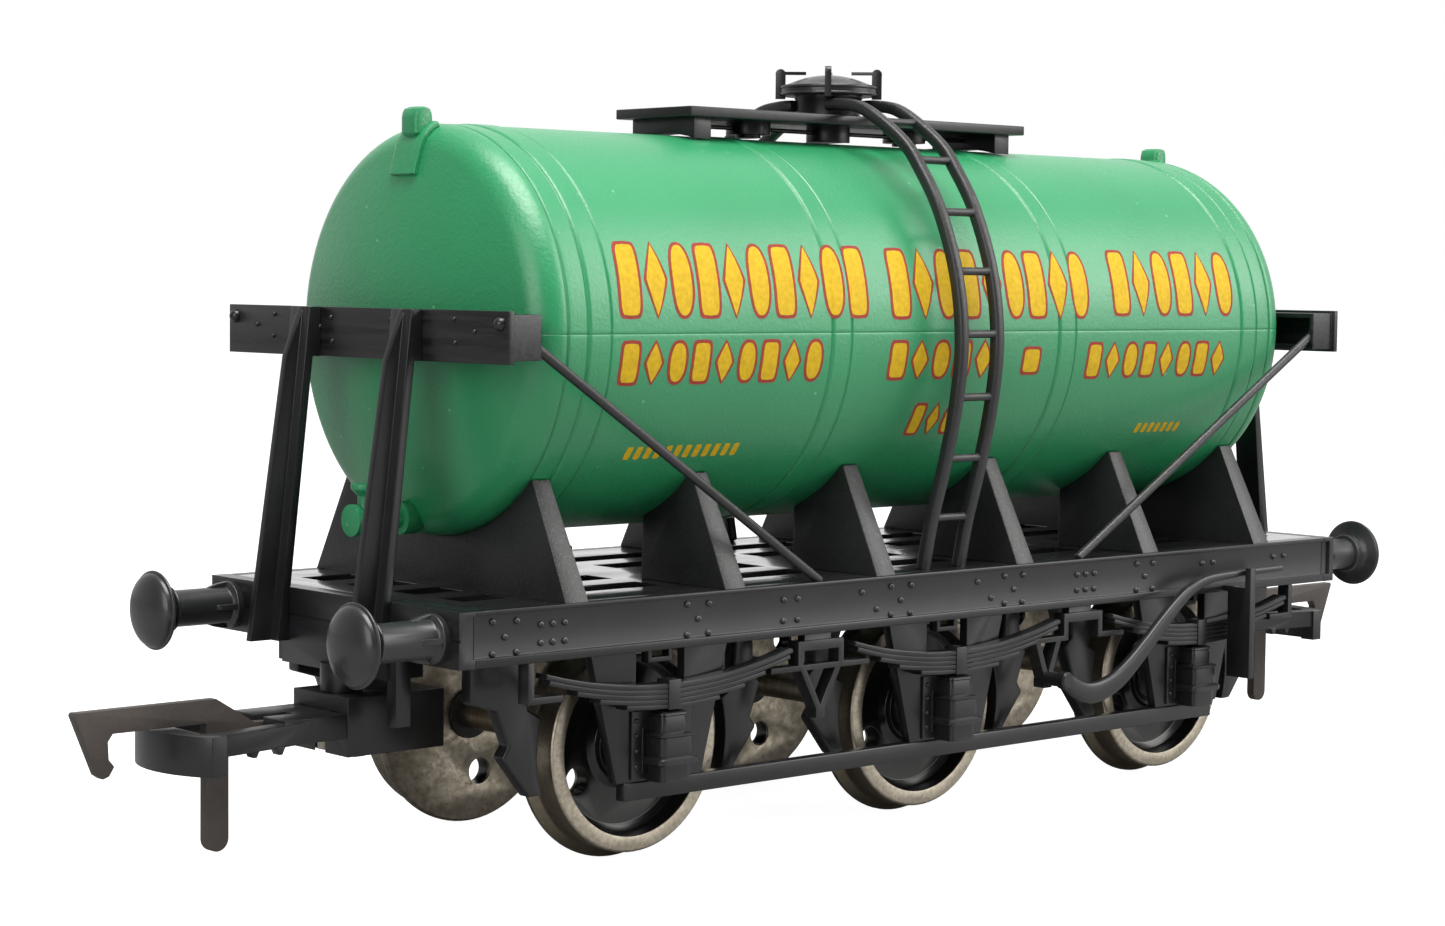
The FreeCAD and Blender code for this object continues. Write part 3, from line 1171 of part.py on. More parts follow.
def build_running_gear():
    """Axleguards, axleboxes, springs, brakes, wheels and axles."""
    left = {"axleguards": group([axleguard(x) for x in AXLE_X]),
            "axleboxes": group([axlebox(x) for x in AXLE_X]),
            "springs": group([spring(x) for x in AXLE_X]),
            "keeper_bar": keeper_bar(),
            "brake_lever": brake_lever()}
    for name, shape in left.items():
        export(shape, name + "_left")
        export(turned(shape), name + "_right")
    hanging = hangers()
    export(group(hanging + [turned(s) for s in hanging]), "hanger_brackets")
    guard = lever_guard()
    export(group([guard, turned(guard)]), "lever_guards")
    export(brake_shoes(), "brake_shoes")
    for x, place in zip(AXLE_X, ("front", "middle", "rear")):
        middle = place == "middle"
        gap = RUN_GAP if middle else SEAT_GAP
        export(axle(x, middle), "axle_" + place)
        export(group([wheel(x, -1), wheel(x, 1)]), "wheels_" + place)
        export(group([bush(x, -1, gap), bush(x, 1, gap)]), "wheel_bushes_" + place)


def build_couplings():
    """The swinging pocket, the coupling and its hook at both ends."""
    for name, shape in (("coupling_pocket", coupling_pocket()), ("coupling", coupling()),
                        ("coupling_hook", coupling_hook())):
        export(shape, name + "_front")
        export(turned(shape), name + "_rear")


nodes = {}
os.makedirs("parts", exist_ok=True)
build_tank()
build_frame()
build_running_gear()
build_couplings()
whole = Part.makeCompound(list(nodes.values())).BoundBox
print("%d nodes, %.1f x %.1f x %.1f mm, lowest point %.3f" % (
    len(nodes), whole.XLength, whole.YLength, whole.ZLength, whole.ZMin))
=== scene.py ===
# %% [markdown]
# # A model tank wagon, finished in Blender
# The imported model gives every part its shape, its size and the body that it moves with. This lesson
# puts the finish on it: moulded edges, smooth turned surfaces, rivets, paint, plastic and metal.
# Lengths are metres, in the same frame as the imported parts: +X to the rear, +Z up.

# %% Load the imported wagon
import math

import bmesh
import bpy
import numpy as np
from mathutils import Matrix, Vector


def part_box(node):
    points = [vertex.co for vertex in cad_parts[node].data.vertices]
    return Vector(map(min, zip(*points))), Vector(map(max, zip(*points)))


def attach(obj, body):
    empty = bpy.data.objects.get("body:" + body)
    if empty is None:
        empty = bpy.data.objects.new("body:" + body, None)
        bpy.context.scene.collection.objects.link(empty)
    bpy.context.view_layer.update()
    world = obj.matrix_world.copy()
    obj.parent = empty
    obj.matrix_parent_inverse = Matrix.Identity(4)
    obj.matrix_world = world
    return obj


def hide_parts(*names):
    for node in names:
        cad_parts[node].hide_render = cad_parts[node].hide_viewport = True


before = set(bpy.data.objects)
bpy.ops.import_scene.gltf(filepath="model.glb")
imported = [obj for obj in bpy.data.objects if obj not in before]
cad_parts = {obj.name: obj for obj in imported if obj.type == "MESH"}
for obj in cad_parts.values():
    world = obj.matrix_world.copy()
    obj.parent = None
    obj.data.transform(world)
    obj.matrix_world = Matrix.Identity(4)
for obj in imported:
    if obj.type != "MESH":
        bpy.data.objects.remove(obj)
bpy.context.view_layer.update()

MM = 0.001

# %% [markdown]
# ## Camera
# A long lens stands a little left of the front buffer, just above the height of the deck, so the
# side of the tank and its round end are both seen. The camera's axes are worked out from an
# azimuth, an elevation and a small roll, and written into its matrix.

# %% Camera
AZIMUTH = math.radians(-41.578)
ELEVATION = math.radians(3.471)
ROLL = math.radians(0.598)
EYE = Vector((-0.14353, -0.14696, 0.03704))
LENS = 71.78
FILM_WIDTH = 36
SHIFT = (0.02537, -0.00878)


def place_camera():
    """Backward axis from azimuth and elevation; the others by cross products and the roll."""
    flat = math.cos(ELEVATION)
    back = Vector((math.sin(AZIMUTH) * flat, -math.cos(AZIMUTH) * flat, math.sin(ELEVATION)))
    right = (-back).cross(Vector((0, 0, 1))).normalized()
    up = right.cross(-back)
    side = right * math.cos(ROLL) + up * math.sin(ROLL)
    top = up * math.cos(ROLL) - right * math.sin(ROLL)
    data = bpy.data.cameras.new("camera")
    data.lens = LENS
    data.sensor_width = FILM_WIDTH
    data.sensor_fit = "HORIZONTAL"
    data.shift_x, data.shift_y = SHIFT
    data.clip_start = 0.01
    data.clip_end = 10
    camera = bpy.data.objects.new("camera", data)
    camera.matrix_world = Matrix.Translation(EYE) @ Matrix((side, top, back)).transposed().to_4x4()
    bpy.context.scene.collection.objects.link(camera)
    bpy.context.scene.camera = camera
    return camera


print("camera at", [round(c / MM, 1) for c in place_camera().matrix_world.translation], "mm")

# %% [markdown]
# ## Table and light
# The wagon stands in a light tent: a large soft lamp overhead puts the pale sheen along the top of
# the tank, and weaker panels draw the edges of the black parts. Floor and world are plain white to
# the camera, and weaker as light, so that the blacks stay deep.

# %% Table and light
WHITE = (1.0, 1.0, 1.0, 1.0)
FLOOR_HALF = 3.0
FLOOR_TONE = 0.3
FLOOR_GLOW = 0.95
# the tent's light on the camera's side and behind the wagon, and the way that behind lies
TENT_NEAR = 0.07
TENT_FAR = 1.1
AWAY = (0.66, 0.75, 0.05)


def make_floor():
    """One flat square under the wheels: a matt grey that glows white for the camera alone."""
    corners = [(x * FLOOR_HALF, y * FLOOR_HALF, 0) for x, y in ((-1, -1), (1, -1), (1, 1), (-1, 1))]
    mesh = bpy.data.meshes.new("floor")
    mesh.from_pydata(corners, [], [(0, 1, 2, 3)])
    floor = bpy.data.objects.new("floor", mesh)
    bpy.context.scene.collection.objects.link(floor)
    material = bpy.data.materials.new("floor_white")
    material.use_nodes = True
    shader = material.node_tree.nodes["Principled BSDF"]
    shader.inputs["Base Color"].default_value = (FLOOR_TONE, FLOOR_TONE, FLOOR_TONE, 1)
    shader.inputs["Roughness"].default_value = 0.75
    shader.inputs["Emission Color"].default_value = WHITE
    seen = material.node_tree.nodes.new("ShaderNodeLightPath").outputs["Is Camera Ray"]
    glow = material.node_tree.nodes.new("ShaderNodeMath")
    glow.operation = "MULTIPLY"
    glow.inputs[1].default_value = FLOOR_GLOW
    material.node_tree.links.new(seen, glow.inputs[0])
    material.node_tree.links.new(glow.outputs["Value"], shader.inputs["Emission Strength"])
    mesh.materials.append(material)


def lamp(name, place, aim, size, energy):
    """A square area lamp at a place, turned towards a point."""
    data = bpy.data.lights.new(name, "AREA")
    data.energy = energy
    data.size = size
    data.color = (1.0, 0.99, 0.97)
    lamp_object = bpy.data.objects.new(name, data)
    lamp_object.location = place
    lamp_object.rotation_euler = (Vector(aim) - Vector(place)).to_track_quat("-Z", "Y").to_euler()
    bpy.context.scene.collection.objects.link(lamp_object)


def make_world():
    """White to the camera. As light it is TENT_NEAR on the camera's side and grows to TENT_FAR
    behind the wagon, with the square of how far a direction points away from the camera."""
    world = bpy.data.worlds.new("tent")
    world.use_nodes = True
    tree = world.node_tree
    direction = tree.nodes.new("ShaderNodeTexCoord").outputs["Generated"]
    away = tree.nodes.new("ShaderNodeVectorMath")
    away.operation = "DOT_PRODUCT"
    away.inputs[1].default_value = AWAY
    half = tree.nodes.new("ShaderNodeMapRange")
    half.inputs["From Min"].default_value = -1.0
    square = tree.nodes.new("ShaderNodeMath")
    square.operation = "POWER"
    square.inputs[1].default_value = 2.0
    light = tree.nodes.new("ShaderNodeMapRange")
    light.inputs["To Min"].default_value = TENT_NEAR
    light.inputs["To Max"].default_value = TENT_FAR
    strength = tree.nodes.new("ShaderNodeMix")
    strength.inputs["B"].default_value = 1.0
    tree.links.new(direction, away.inputs[0])
    tree.links.new(away.outputs["Value"], half.inputs["Value"])
    tree.links.new(half.outputs["Result"], square.inputs[0])
    tree.links.new(square.outputs["Value"], light.inputs["Value"])
    tree.links.new(light.outputs["Result"], strength.inputs["A"])
    seen = tree.nodes.new("ShaderNodeLightPath").outputs["Is Camera Ray"]
    tree.links.new(seen, strength.inputs["Factor"])
    background = tree.nodes["Background"]
    background.inputs["Color"].default_value = WHITE
    tree.links.new(strength.outputs["Result"], background.inputs["Strength"])
    bpy.context.scene.world = world
    bpy.context.scene.view_settings.view_transform = "Standard"


make_floor()
make_world()
MIDDLE = (0, 0, 0.03)
lamp("overhead", (-0.03, -0.10, 0.42), MIDDLE, 0.30, 2.9)
lamp("left_panel", (0.34, -0.30, 0.27), MIDDLE, 0.30, 1.3)
lamp("front_panel", (-0.46, -0.20, 0.20), MIDDLE, 0.34, 1.2)
lamp("low_left", (0.32, -0.38, 0.06), MIDDLE, 0.36, 0.75)
print("four lamps and a white tent")

# %% [markdown]
# ## Finishes
# Every finish is a principled shader whose colour, roughness and bump are worked out from noise on
# Object coordinates, which are metres here. A noise scale of 2000 therefore gives grains of half a
# millimetre. One helper builds the common part: fine grain for the bump, slow blotches for the
# colour, and a little of both in the roughness. What is the same all over is set on the shader.

# %% Node helpers


class Finish:
    """A material being wired: shader, object coordinates and short ways to add nodes."""

    def __init__(self, name, metallic=0.0, coat=0.0, coat_roughness=0.1):
        self.material = bpy.data.materials.new(name)
        self.material.use_nodes = True
        self.tree = self.material.node_tree
        self.shader = self.tree.nodes["Principled BSDF"]
        self.shader.inputs["Metallic"].default_value = metallic
        self.shader.inputs["Coat Weight"].default_value = coat
        self.shader.inputs["Coat Roughness"].default_value = coat_roughness
        self.place = self.tree.nodes.new("ShaderNodeTexCoord").outputs["Object"]

    def link(self, value, socket):
        """Join an output to an input, or set the input to a number or colour."""
        if isinstance(value, bpy.types.NodeSocket):
            self.tree.links.new(value, socket)
        else:
            socket.default_value = value

    def noise(self, scale, detail=3.0, stretch=None):
        """Noise at a scale, optionally stretched along the axes."""
        place = self.place
        if stretch:
            mapping = self.tree.nodes.new("ShaderNodeMapping")
            mapping.inputs["Scale"].default_value = stretch
            self.tree.links.new(place, mapping.inputs["Vector"])
            place = mapping.outputs["Vector"]
        node = self.tree.nodes.new("ShaderNodeTexNoise")
        node.inputs["Scale"].default_value = scale
        node.inputs["Detail"].default_value = detail
        self.tree.links.new(place, node.inputs["Vector"])
        return node.outputs["Fac"]

    def pits(self, scale):
        """Distance to the nearest of scattered points: round pits or specks."""
        node = self.tree.nodes.new("ShaderNodeTexVoronoi")
        node.inputs["Scale"].default_value = scale
        self.tree.links.new(self.place, node.inputs["Vector"])
        return node.outputs["Distance"]

    def band(self, value, low, high, out_low, out_high):
        """A value between low and high, carried linearly to another range."""
        node = self.tree.nodes.new("ShaderNodeMapRange")
        self.link(value, node.inputs["Value"])
        ends = {"From Min": low, "From Max": high, "To Min": out_low, "To Max": out_high}
        for socket, number in ends.items():
            node.inputs[socket].default_value = number
        return node.outputs["Result"]

    def mix(self, share, first, second):
        """Two colours mixed by a share."""
        node = self.tree.nodes.new("ShaderNodeMix")
        node.data_type = "RGBA"
        self.link(share, node.inputs["Factor"])
        self.link(first, node.inputs["A"])
        self.link(second, node.inputs["B"])
        return node.outputs["Result"]

    def sums(self, operation, first, second):
        """Two numbers put together."""
        node = self.tree.nodes.new("ShaderNodeMath")
        node.operation = operation
        self.link(first, node.inputs[0])
        self.link(second, node.inputs[1])
        return node.outputs["Value"]

    def facing_up(self):
        """How far the surface faces upwards, from -1 to 1."""
        normal = self.tree.nodes.new("ShaderNodeNewGeometry").outputs["Normal"]
        split = self.tree.nodes.new("ShaderNodeSeparateXYZ")
        self.tree.links.new(normal, split.inputs["Vector"])
        return split.outputs["Z"]

    def split_place(self):
        """X, Y and Z of the object coordinates."""
        split = self.tree.nodes.new("ShaderNodeSeparateXYZ")
        self.tree.links.new(self.place, split.inputs["Vector"])
        return split.outputs

    def bump(self, height, depth):
        """Small relief, its depth in metres."""
        node = self.tree.nodes.new("ShaderNodeBump")
        node.inputs["Strength"].default_value = 1.0
        node.inputs["Distance"].default_value = depth
        self.tree.links.new(height, node.inputs["Height"])
        self.tree.links.new(node.outputs["Normal"], self.shader.inputs["Normal"])

    def done(self, colour, roughness):
        """Wire colour and roughness and return the material."""
        self.link(colour, self.shader.inputs["Base Color"])
        self.link(roughness, self.shader.inputs["Roughness"])
        return self.material


def rgb(r, g, b):
    """A colour from linear parts."""
    return (r, g, b, 1.0)


print("node helpers ready")

# %% [markdown]
# The tank's paint is a satin green over fine orange peel. The peel is two noises, one of about a
# quarter of a millimetre and one three times as large; the colour drifts slightly, as thin paint
# does, and a few tiny pale specks of dust sit on it.

# %% Paint


def tank_paint():
    """Satin green with orange peel, slow drift of tone and a few specks."""
    finish = Finish("tank_green_paint", coat=0.35, coat_roughness=0.34)
    peel = finish.noise(4200.0, 2.0)
    swell = finish.noise(1300.0, 2.0)
    drift = finish.noise(60.0, 3.0)
    share = finish.band(drift, 0.3, 0.7, 0.0, 1.0)
    tone = finish.mix(share, rgb(0.013, 0.215, 0.080), rgb(0.018, 0.248, 0.095))
    speck = finish.band(finish.pits(420.0), 0.035, 0.05, 1.0, 0.0)
    tone = finish.mix(finish.sums("MULTIPLY", speck, 0.35), tone, rgb(0.35, 0.62, 0.42))
    finish.bump(finish.sums("ADD", peel, finish.sums("MULTIPLY", swell, 0.6)), 0.00003)
    return finish.done(tone, finish.band(peel, 0.3, 0.7, 0.34, 0.46))


def mark_paint(name, colour, shade):
    """Printed colour: a fine tooth of ink over the green, a little worn."""
    finish = Finish(name)
    finish.shader.inputs["Specular IOR Level"].default_value = 0.18
    wear = finish.noise(3000.0, 4.0)
    finish.bump(wear, 0.00001)
    tone = finish.mix(finish.band(wear, 0.35, 0.65, 0.0, 1.0), colour, shade)
    return finish.done(tone, finish.band(wear, 0.3, 0.7, 0.5, 0.65))


GREEN = tank_paint()
YELLOW = mark_paint("mark_yellow", rgb(0.60, 0.385, 0.01), rgb(0.50, 0.32, 0.01))
RED = mark_paint("mark_red", rgb(0.33, 0.035, 0.03), rgb(0.22, 0.045, 0.025))
print("paints:", GREEN.name, YELLOW.name, RED.name)

# %% [markdown]
# The black parts are moulded plastic: satin with a faint dusting on what faces up, grainy and grey
# on the ladders, tie rods and saddles, glossy on the buffers, the lid and the deck, brushed on the
# end beams, and a matt brown on the hooks. Grain is a noise scale, and depth is metres of relief.

# %% Plastics


def plastic(name, dark, light, roughness, grain, depth, dust=0.0, coat=0.0):
    """Moulded black: fine grain, slow blotches, and dust on the faces that look up."""
    finish = Finish(name, coat=coat)
    fine = finish.noise(grain, 4.0)
    blotch = finish.noise(180.0, 3.0)
    tone = finish.mix(finish.band(blotch, 0.35, 0.65, 0.0, 1.0), dark, light)
    rough = finish.band(fine, 0.25, 0.75, roughness - 0.025, roughness + 0.035)
    if dust:
        mote = finish.band(finish.noise(6000.0, 5.0), 0.56, 0.72, 0.0, 1.0)
        upward = finish.band(finish.facing_up(), 0.1, 0.95, 0.15, 1.0)
        lying = finish.sums("MULTIPLY", upward, mote)
        tone = finish.mix(finish.sums("MULTIPLY", lying, dust), tone, rgb(0.30, 0.29, 0.27))
    finish.bump(fine, depth)
    return finish.done(tone, rough)


SATIN = plastic("frame_black_satin", rgb(0.006, 0.0062, 0.0072), rgb(0.0105, 0.011, 0.0125),
                roughness=0.3, grain=3200.0, depth=0.000002, dust=0.04)
GRAINY = plastic("frame_black_grainy", rgb(0.010, 0.0105, 0.011), rgb(0.018, 0.0185, 0.02),
                 roughness=0.4, grain=5200.0, depth=0.00002, dust=0.35)
TOP_BLACK = plastic("top_black_satin", rgb(0.006, 0.006, 0.007), rgb(0.011, 0.011, 0.0125),
                    roughness=0.3, grain=3200.0, depth=0.000005, dust=0.1)
GLOSS = plastic("gloss_black", rgb(0.013, 0.0135, 0.0145), rgb(0.019, 0.0195, 0.021),
                roughness=0.36, grain=1500.0, depth=0.000002, dust=0.04, coat=0.25)
DECK_BLACK = plastic("deck_black", rgb(0.010, 0.010, 0.011), rgb(0.016, 0.016, 0.018),
                     roughness=0.2, grain=1200.0, depth=0.000003, dust=0.05, coat=0.5)
COUPLING = plastic("coupling_black_satin", rgb(0.006, 0.006, 0.0068), rgb(0.0115, 0.0115, 0.0125),
                   roughness=0.33, grain=2600.0, depth=0.000006, dust=0.08)
HOOK = plastic("hook_brown_matt", rgb(0.034, 0.028, 0.024), rgb(0.055, 0.045, 0.039),
               roughness=0.6, grain=1800.0, depth=0.00004, dust=0.25)


def brushed_plastic():
    """Satin black with fine lines along the beam, from noise drawn out across the wagon."""
    finish = Finish("frame_black_brushed")
    lines = finish.noise(3000.0, 3.0, (1.0, 0.04, 1.0))
    share = finish.band(lines, 0.4, 0.65, 0.0, 1.0)
    tone = finish.mix(share, rgb(0.006, 0.0062, 0.007), rgb(0.015, 0.0155, 0.017))
    finish.bump(lines, 0.00001)
    return finish.done(tone, finish.band(lines, 0.3, 0.7, 0.24, 0.4))


BRUSHED = brushed_plastic()
BUSH = plastic("bush_black", rgb(0.02, 0.02, 0.02), rgb(0.03, 0.03, 0.03),
               roughness=0.5, grain=2000.0, depth=0.00002)
print("nine plastics, the last is", BUSH.name)

# %% [markdown]
# The wheels are turned nickel-silver whose flanges and backs have a pitted, brownish skin, while
# the dish inside the tyre is black. The black is chosen by distance from the axle, and by how far
# the point lies from the wagon's middle, so each wheelset needs only its own axle's place.

# %% Metals
AXLE_Z = (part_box("axle_middle")[0][2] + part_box("axle_middle")[1][2]) / 2
PLACES = ("front", "middle", "rear")
AXLE_X = {place: sum(corner[0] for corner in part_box("axle_" + place)) / 2 for place in PLACES}
# the black dish ends at DISH_R and begins at DISH_Y; the tread ends at TREAD_R, the tyre at TYRE_Y
DISH_R = 5.78 * MM
DISH_Y = 7.45 * MM
TREAD_R = 6.5 * MM
TYRE_Y = 9.86 * MM


def wheel_metal(place):
    """Nickel tyre, brown pitted back, black dish: masks from radius about the axle and from |y|."""
    finish = Finish("wheel_metal_" + place)
    spot = finish.split_place()
    dx = finish.sums("SUBTRACT", spot["X"], AXLE_X[place])
    dz = finish.sums("SUBTRACT", spot["Z"], AXLE_Z)
    squares = finish.sums("ADD", finish.sums("MULTIPLY", dx, dx), finish.sums("MULTIPLY", dz, dz))
    radius = finish.sums("SQRT", squares, 0.0)
    far = finish.sums("ABSOLUTE", spot["Y"], 0.0)
    inside = finish.band(radius, DISH_R, DISH_R + 0.04 * MM, 1.0, 0.0)
    outer = finish.band(far, DISH_Y, DISH_Y + 0.05 * MM, 0.0, 1.0)
    dish = finish.sums("MULTIPLY", inside, outer)
    bare = finish.band(dish, 0.0, 1.0, 1.0, 0.0)
    fine = finish.noise(3200.0, 5.0)
    stain = finish.noise(1500.0, 6.0)
    pit = finish.band(finish.pits(2300.0), 0.1, 0.2, 1.0, 0.0)
    back = finish.band(far, DISH_Y, DISH_Y + 0.3 * MM, 1.0, 0.0)
    tyre = finish.mix(finish.band(fine, 0.35, 0.65, 0.0, 1.0), rgb(0.50, 0.45, 0.37),
                      rgb(0.36, 0.32, 0.25))
    skin = finish.mix(finish.band(stain, 0.38, 0.62, 0.0, 1.0), rgb(0.56, 0.50, 0.41),
                      rgb(0.36, 0.315, 0.24))
    skin = finish.mix(finish.sums("MULTIPLY", pit, 0.7), skin, rgb(0.13, 0.10, 0.07))
    metal = finish.mix(finish.sums("MULTIPLY", back, 0.9), tyre, skin)
    face = finish.band(far, TYRE_Y, TYRE_Y + 0.08 * MM, 1.0, 0.0)
    rim = finish.band(radius, TREAD_R, TREAD_R + 0.12 * MM, 0.0, 1.0)
    on_tread = finish.sums("MULTIPLY", face, rim)
    worn = finish.sums("MULTIPLY", on_tread, finish.band(back, 0.0, 1.0, 0.75, 0.1))
    metal = finish.mix(worn, metal, rgb(0.20, 0.165, 0.12))
    finish.link(bare, finish.shader.inputs["Metallic"])
    finish.bump(finish.sums("MULTIPLY", fine, bare), 0.000008)
    dull = finish.sums("MULTIPLY", finish.band(fine, 0.3, 0.7, 0.28, 0.5), bare)
    rough = finish.sums("ADD", dull, finish.sums("MULTIPLY", dish, 0.22))
    return finish.done(finish.mix(dish, metal, rgb(0.008, 0.0075, 0.0075)), rough)


def steel(name):
    """Turned steel: fine rings along the bar, with a brassy tinge."""
    finish = Finish(name, metallic=1.0)
    rings = finish.noise(1500.0, 2.0, (0.2, 4.0, 0.2))
    finish.bump(rings, 0.00001)
    share = finish.band(rings, 0.35, 0.65, 0.0, 1.0)
    tone = finish.mix(share, rgb(0.42, 0.39, 0.34), rgb(0.30, 0.26, 0.20))
    return finish.done(tone, finish.band(rings, 0.3, 0.7, 0.28, 0.42))


WHEEL = {place: wheel_metal(place) for place in PLACES}
STEEL = steel("steel_turned")
print("axles at", [round(x / MM, 2) for x in AXLE_X.values()], "height", round(AXLE_Z / MM, 2))

# %% [markdown]
# ## Making pieces
# A few helpers make every new piece. A grid of points, worked out as whole arrays, becomes a skin
# of four-sided faces; doubles are merged so that poles and seams close, and the faces are then
# turned outwards. A lathe is such a grid with rings of points, and a sweep carries a section along
# a path. An end is -1 for the front or 1 for the rear; a side is -1 for the left, 1 for the right.

# %% Mesh helpers
MERGE = 0.0004 * MM
END = {-1: "front", 1: "rear"}
SIDE = {-1: "left", 1: "right"}


def finished(name, mesh, bm, material, sharp):
    """Write the faces back, shade them smooth up to an angle and put the piece in the scene."""
    bm.to_mesh(mesh)
    bm.free()
    mesh.materials.clear()
    mesh.materials.append(material)
    mesh.shade_smooth()
    mesh.set_sharp_from_angle(angle=sharp)
    piece = bpy.data.objects.new(name, mesh)
    bpy.context.scene.collection.objects.link(piece)
    return piece


def mesh_object(name, points, faces, material, smooth=0.6):
    """Vertices and faces as a clean object: doubles merged, faces outwards, and creases over the
    angle 'smooth', in radians, kept sharp."""
    mesh = bpy.data.meshes.new(name)
    mesh.from_pydata(points.tolist(), [], faces.tolist())
    bm = bmesh.new()
    bm.from_mesh(mesh)
    bmesh.ops.remove_doubles(bm, verts=bm.verts, dist=MERGE)
    bmesh.ops.dissolve_degenerate(bm, edges=bm.edges, dist=MERGE)
    bmesh.ops.recalc_face_normals(bm, faces=bm.faces)
    return finished(name, mesh, bm, material, smooth)


def grid_faces(rows, columns, start=0):
    """Four-sided faces between neighbouring rows and columns of a grid of points."""
    i, j = np.meshgrid(np.arange(rows - 1), np.arange(columns - 1), indexing="ij")
    a = (start + i * columns + j).ravel()
    return np.stack([a, a + 1, a + 1 + columns, a + columns], axis=1)


def skins(name, grids, material, smooth=0.6):
    """Several grids, each an array (rows, columns, 3), as one object."""
    points = np.concatenate([g.reshape(-1, 3) for g in grids])
    faces = []
    start = 0
    for g in grids:
        faces.append(grid_faces(g.shape[0], g.shape[1], start))
        start += g.shape[0] * g.shape[1]
    return mesh_object(name, points, np.concatenate(faces), material, smooth)


def lathe_grid(profile, centre, axis, start=0.0, end=360.0, steps=64, turn=None):
    """Profile points (along the axis, radius) turned about an axis through centre, from start to
    end in degrees, or at the degrees listed in turn."""
    axis = np.asarray(axis, float)
    first = np.cross(axis, (0.0, 0.0, 1.0)) if abs(axis[2]) < 0.9 else np.array((1.0, 0.0, 0.0))
    second = np.cross(axis, first)
    turn = np.radians(np.linspace(start, end, steps + 1) if turn is None else turn)
    along, radius = np.asarray(profile, float).T
    spoke = np.cos(turn)[None, :, None] * first + np.sin(turn)[None, :, None] * second
    return np.asarray(centre, float) + along[:, None, None] * axis + radius[:, None, None] * spoke


def curve_through(points, per_span=6):
    """A smooth curve through points: each span is a cubic, and its ends follow the chord of the
    neighbours."""
    p = np.asarray(points, float)
    padded = np.vstack([2 * p[:1] - p[1:2], p, 2 * p[-1:] - p[-2:-1]])
    t = np.linspace(0, 1, per_span, endpoint=False)[None, :, None]
    a, b, c, d = [padded[k:len(padded) - 3 + k][:, None, :] for k in range(4)]
    spans = 0.5 * (2 * b + (c - a) * t + (2 * a - 5 * b + 4 * c - d) * t ** 2
                   + (3 * b - a - 3 * c + d) * t ** 3)
    return np.vstack([spans.reshape(-1, p.shape[1]), p[-1:]])


def rounded(steps, power):
    """Cosine and sine round a circle, each taken to a power below one: a rounded rectangle."""
    turn = np.linspace(0, 2 * np.pi, steps + 1)
    return [np.sign(wave) * np.abs(wave) ** power for wave in (np.cos(turn), np.sin(turn))]


def sweep_grid(path, width, height, across, squareness=4.0, steps=20):
    """A rounded section carried along a path. Its half sizes are width, along 'across', and height,
    square to both; the section is a superellipse, and the ends shrink to a point in two steps."""
    path = np.asarray(path, float)
    width = np.broadcast_to(width, len(path))
    height = np.broadcast_to(height, len(path))
    tangent = np.gradient(path, axis=0)
    tangent /= np.linalg.norm(tangent, axis=1)[:, None]
    across = np.asarray(across, float)
    side = across - tangent * (tangent @ across)[:, None]
    side /= np.linalg.norm(side, axis=1)[:, None]
    up = np.cross(tangent, side)
    u, v = rounded(steps, 2.0 / squareness)

    def rings(rows, scale):
        wide = (scale * width[rows])[:, None, None] * u[None, :, None] * side[rows][:, None, :]
        high = (scale * height[rows])[:, None, None] * v[None, :, None] * up[rows][:, None, :]
        return path[rows][:, None, :] + wide + high

    whole = rings(slice(None), 1.0)
    inset = tangent * np.minimum(width, height)[:, None] * 0.25
    whole[0] += inset[0]
    whole[-1] -= inset[-1]
    ends = [[rings([row], scale) for scale in (0.0, 0.75)] for row in (0, -1)]
    return np.concatenate(ends[0] + [whole] + ends[1][::-1])


def from_left(side):
    """Factors for a shape made on the left: itself there, and turned half round for the right."""
    return np.array((-side, -side, 1.0))


def settle(piece, body, slot, *nodes):
    """Say which body a piece moves with, and which nodes it stands for; the slot is not used."""
    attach(piece, body)
    if nodes:
        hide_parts(*nodes)
    return piece


print("mesh helpers ready")

# %% [markdown]
# ## Tank
# The tank is two half shells that meet at mid height. A lathe profile gives the outside: a shallow
# crown, a round knuckle, the barrel, raised bands with soft steps, and a fine groove at each end
# seam. The inside is the same profile set in by the wall, and the two are closed along the joint.

# %% Tank shells
TANK_R = 13.0 * MM
TANK_Z = 33.43 * MM
BARREL_HALF = 34.3 * MM
DOME = 3.8 * MM
KNUCKLE = 2.2 * MM
WALL = 1.2 * MM
BANDS = ((30.9 * MM, 32.5 * MM), (10.35 * MM, 11.9 * MM))
SEAM_DEPTH = 0.12 * MM
SEAM_IN = 0.12 * MM
SEAM_W = 0.088 * MM
BAND_RISE = 0.6 * SEAM_DEPTH
STEP_W = 0.16 * MM
# how far beside a band its hairline lies, and how wide and deep it is
LINE_OUT = 0.13 * MM
LINE_W = 0.07 * MM
# rings near the joint between the shells, and how much of their radius they are drawn in
JOINT_RINGS = ((0, 0.0032), (-1, 0.0032), (1, 0.0008), (-2, 0.0008))
crown_r = (KNUCKLE ** 2 - (TANK_R - KNUCKLE) ** 2 - DOME ** 2) / (KNUCKLE - DOME) / 2
crown_x = BARREL_HALF + DOME - crown_r
crown_turn = math.atan2(TANK_R - KNUCKLE, BARREL_HALF - crown_x)


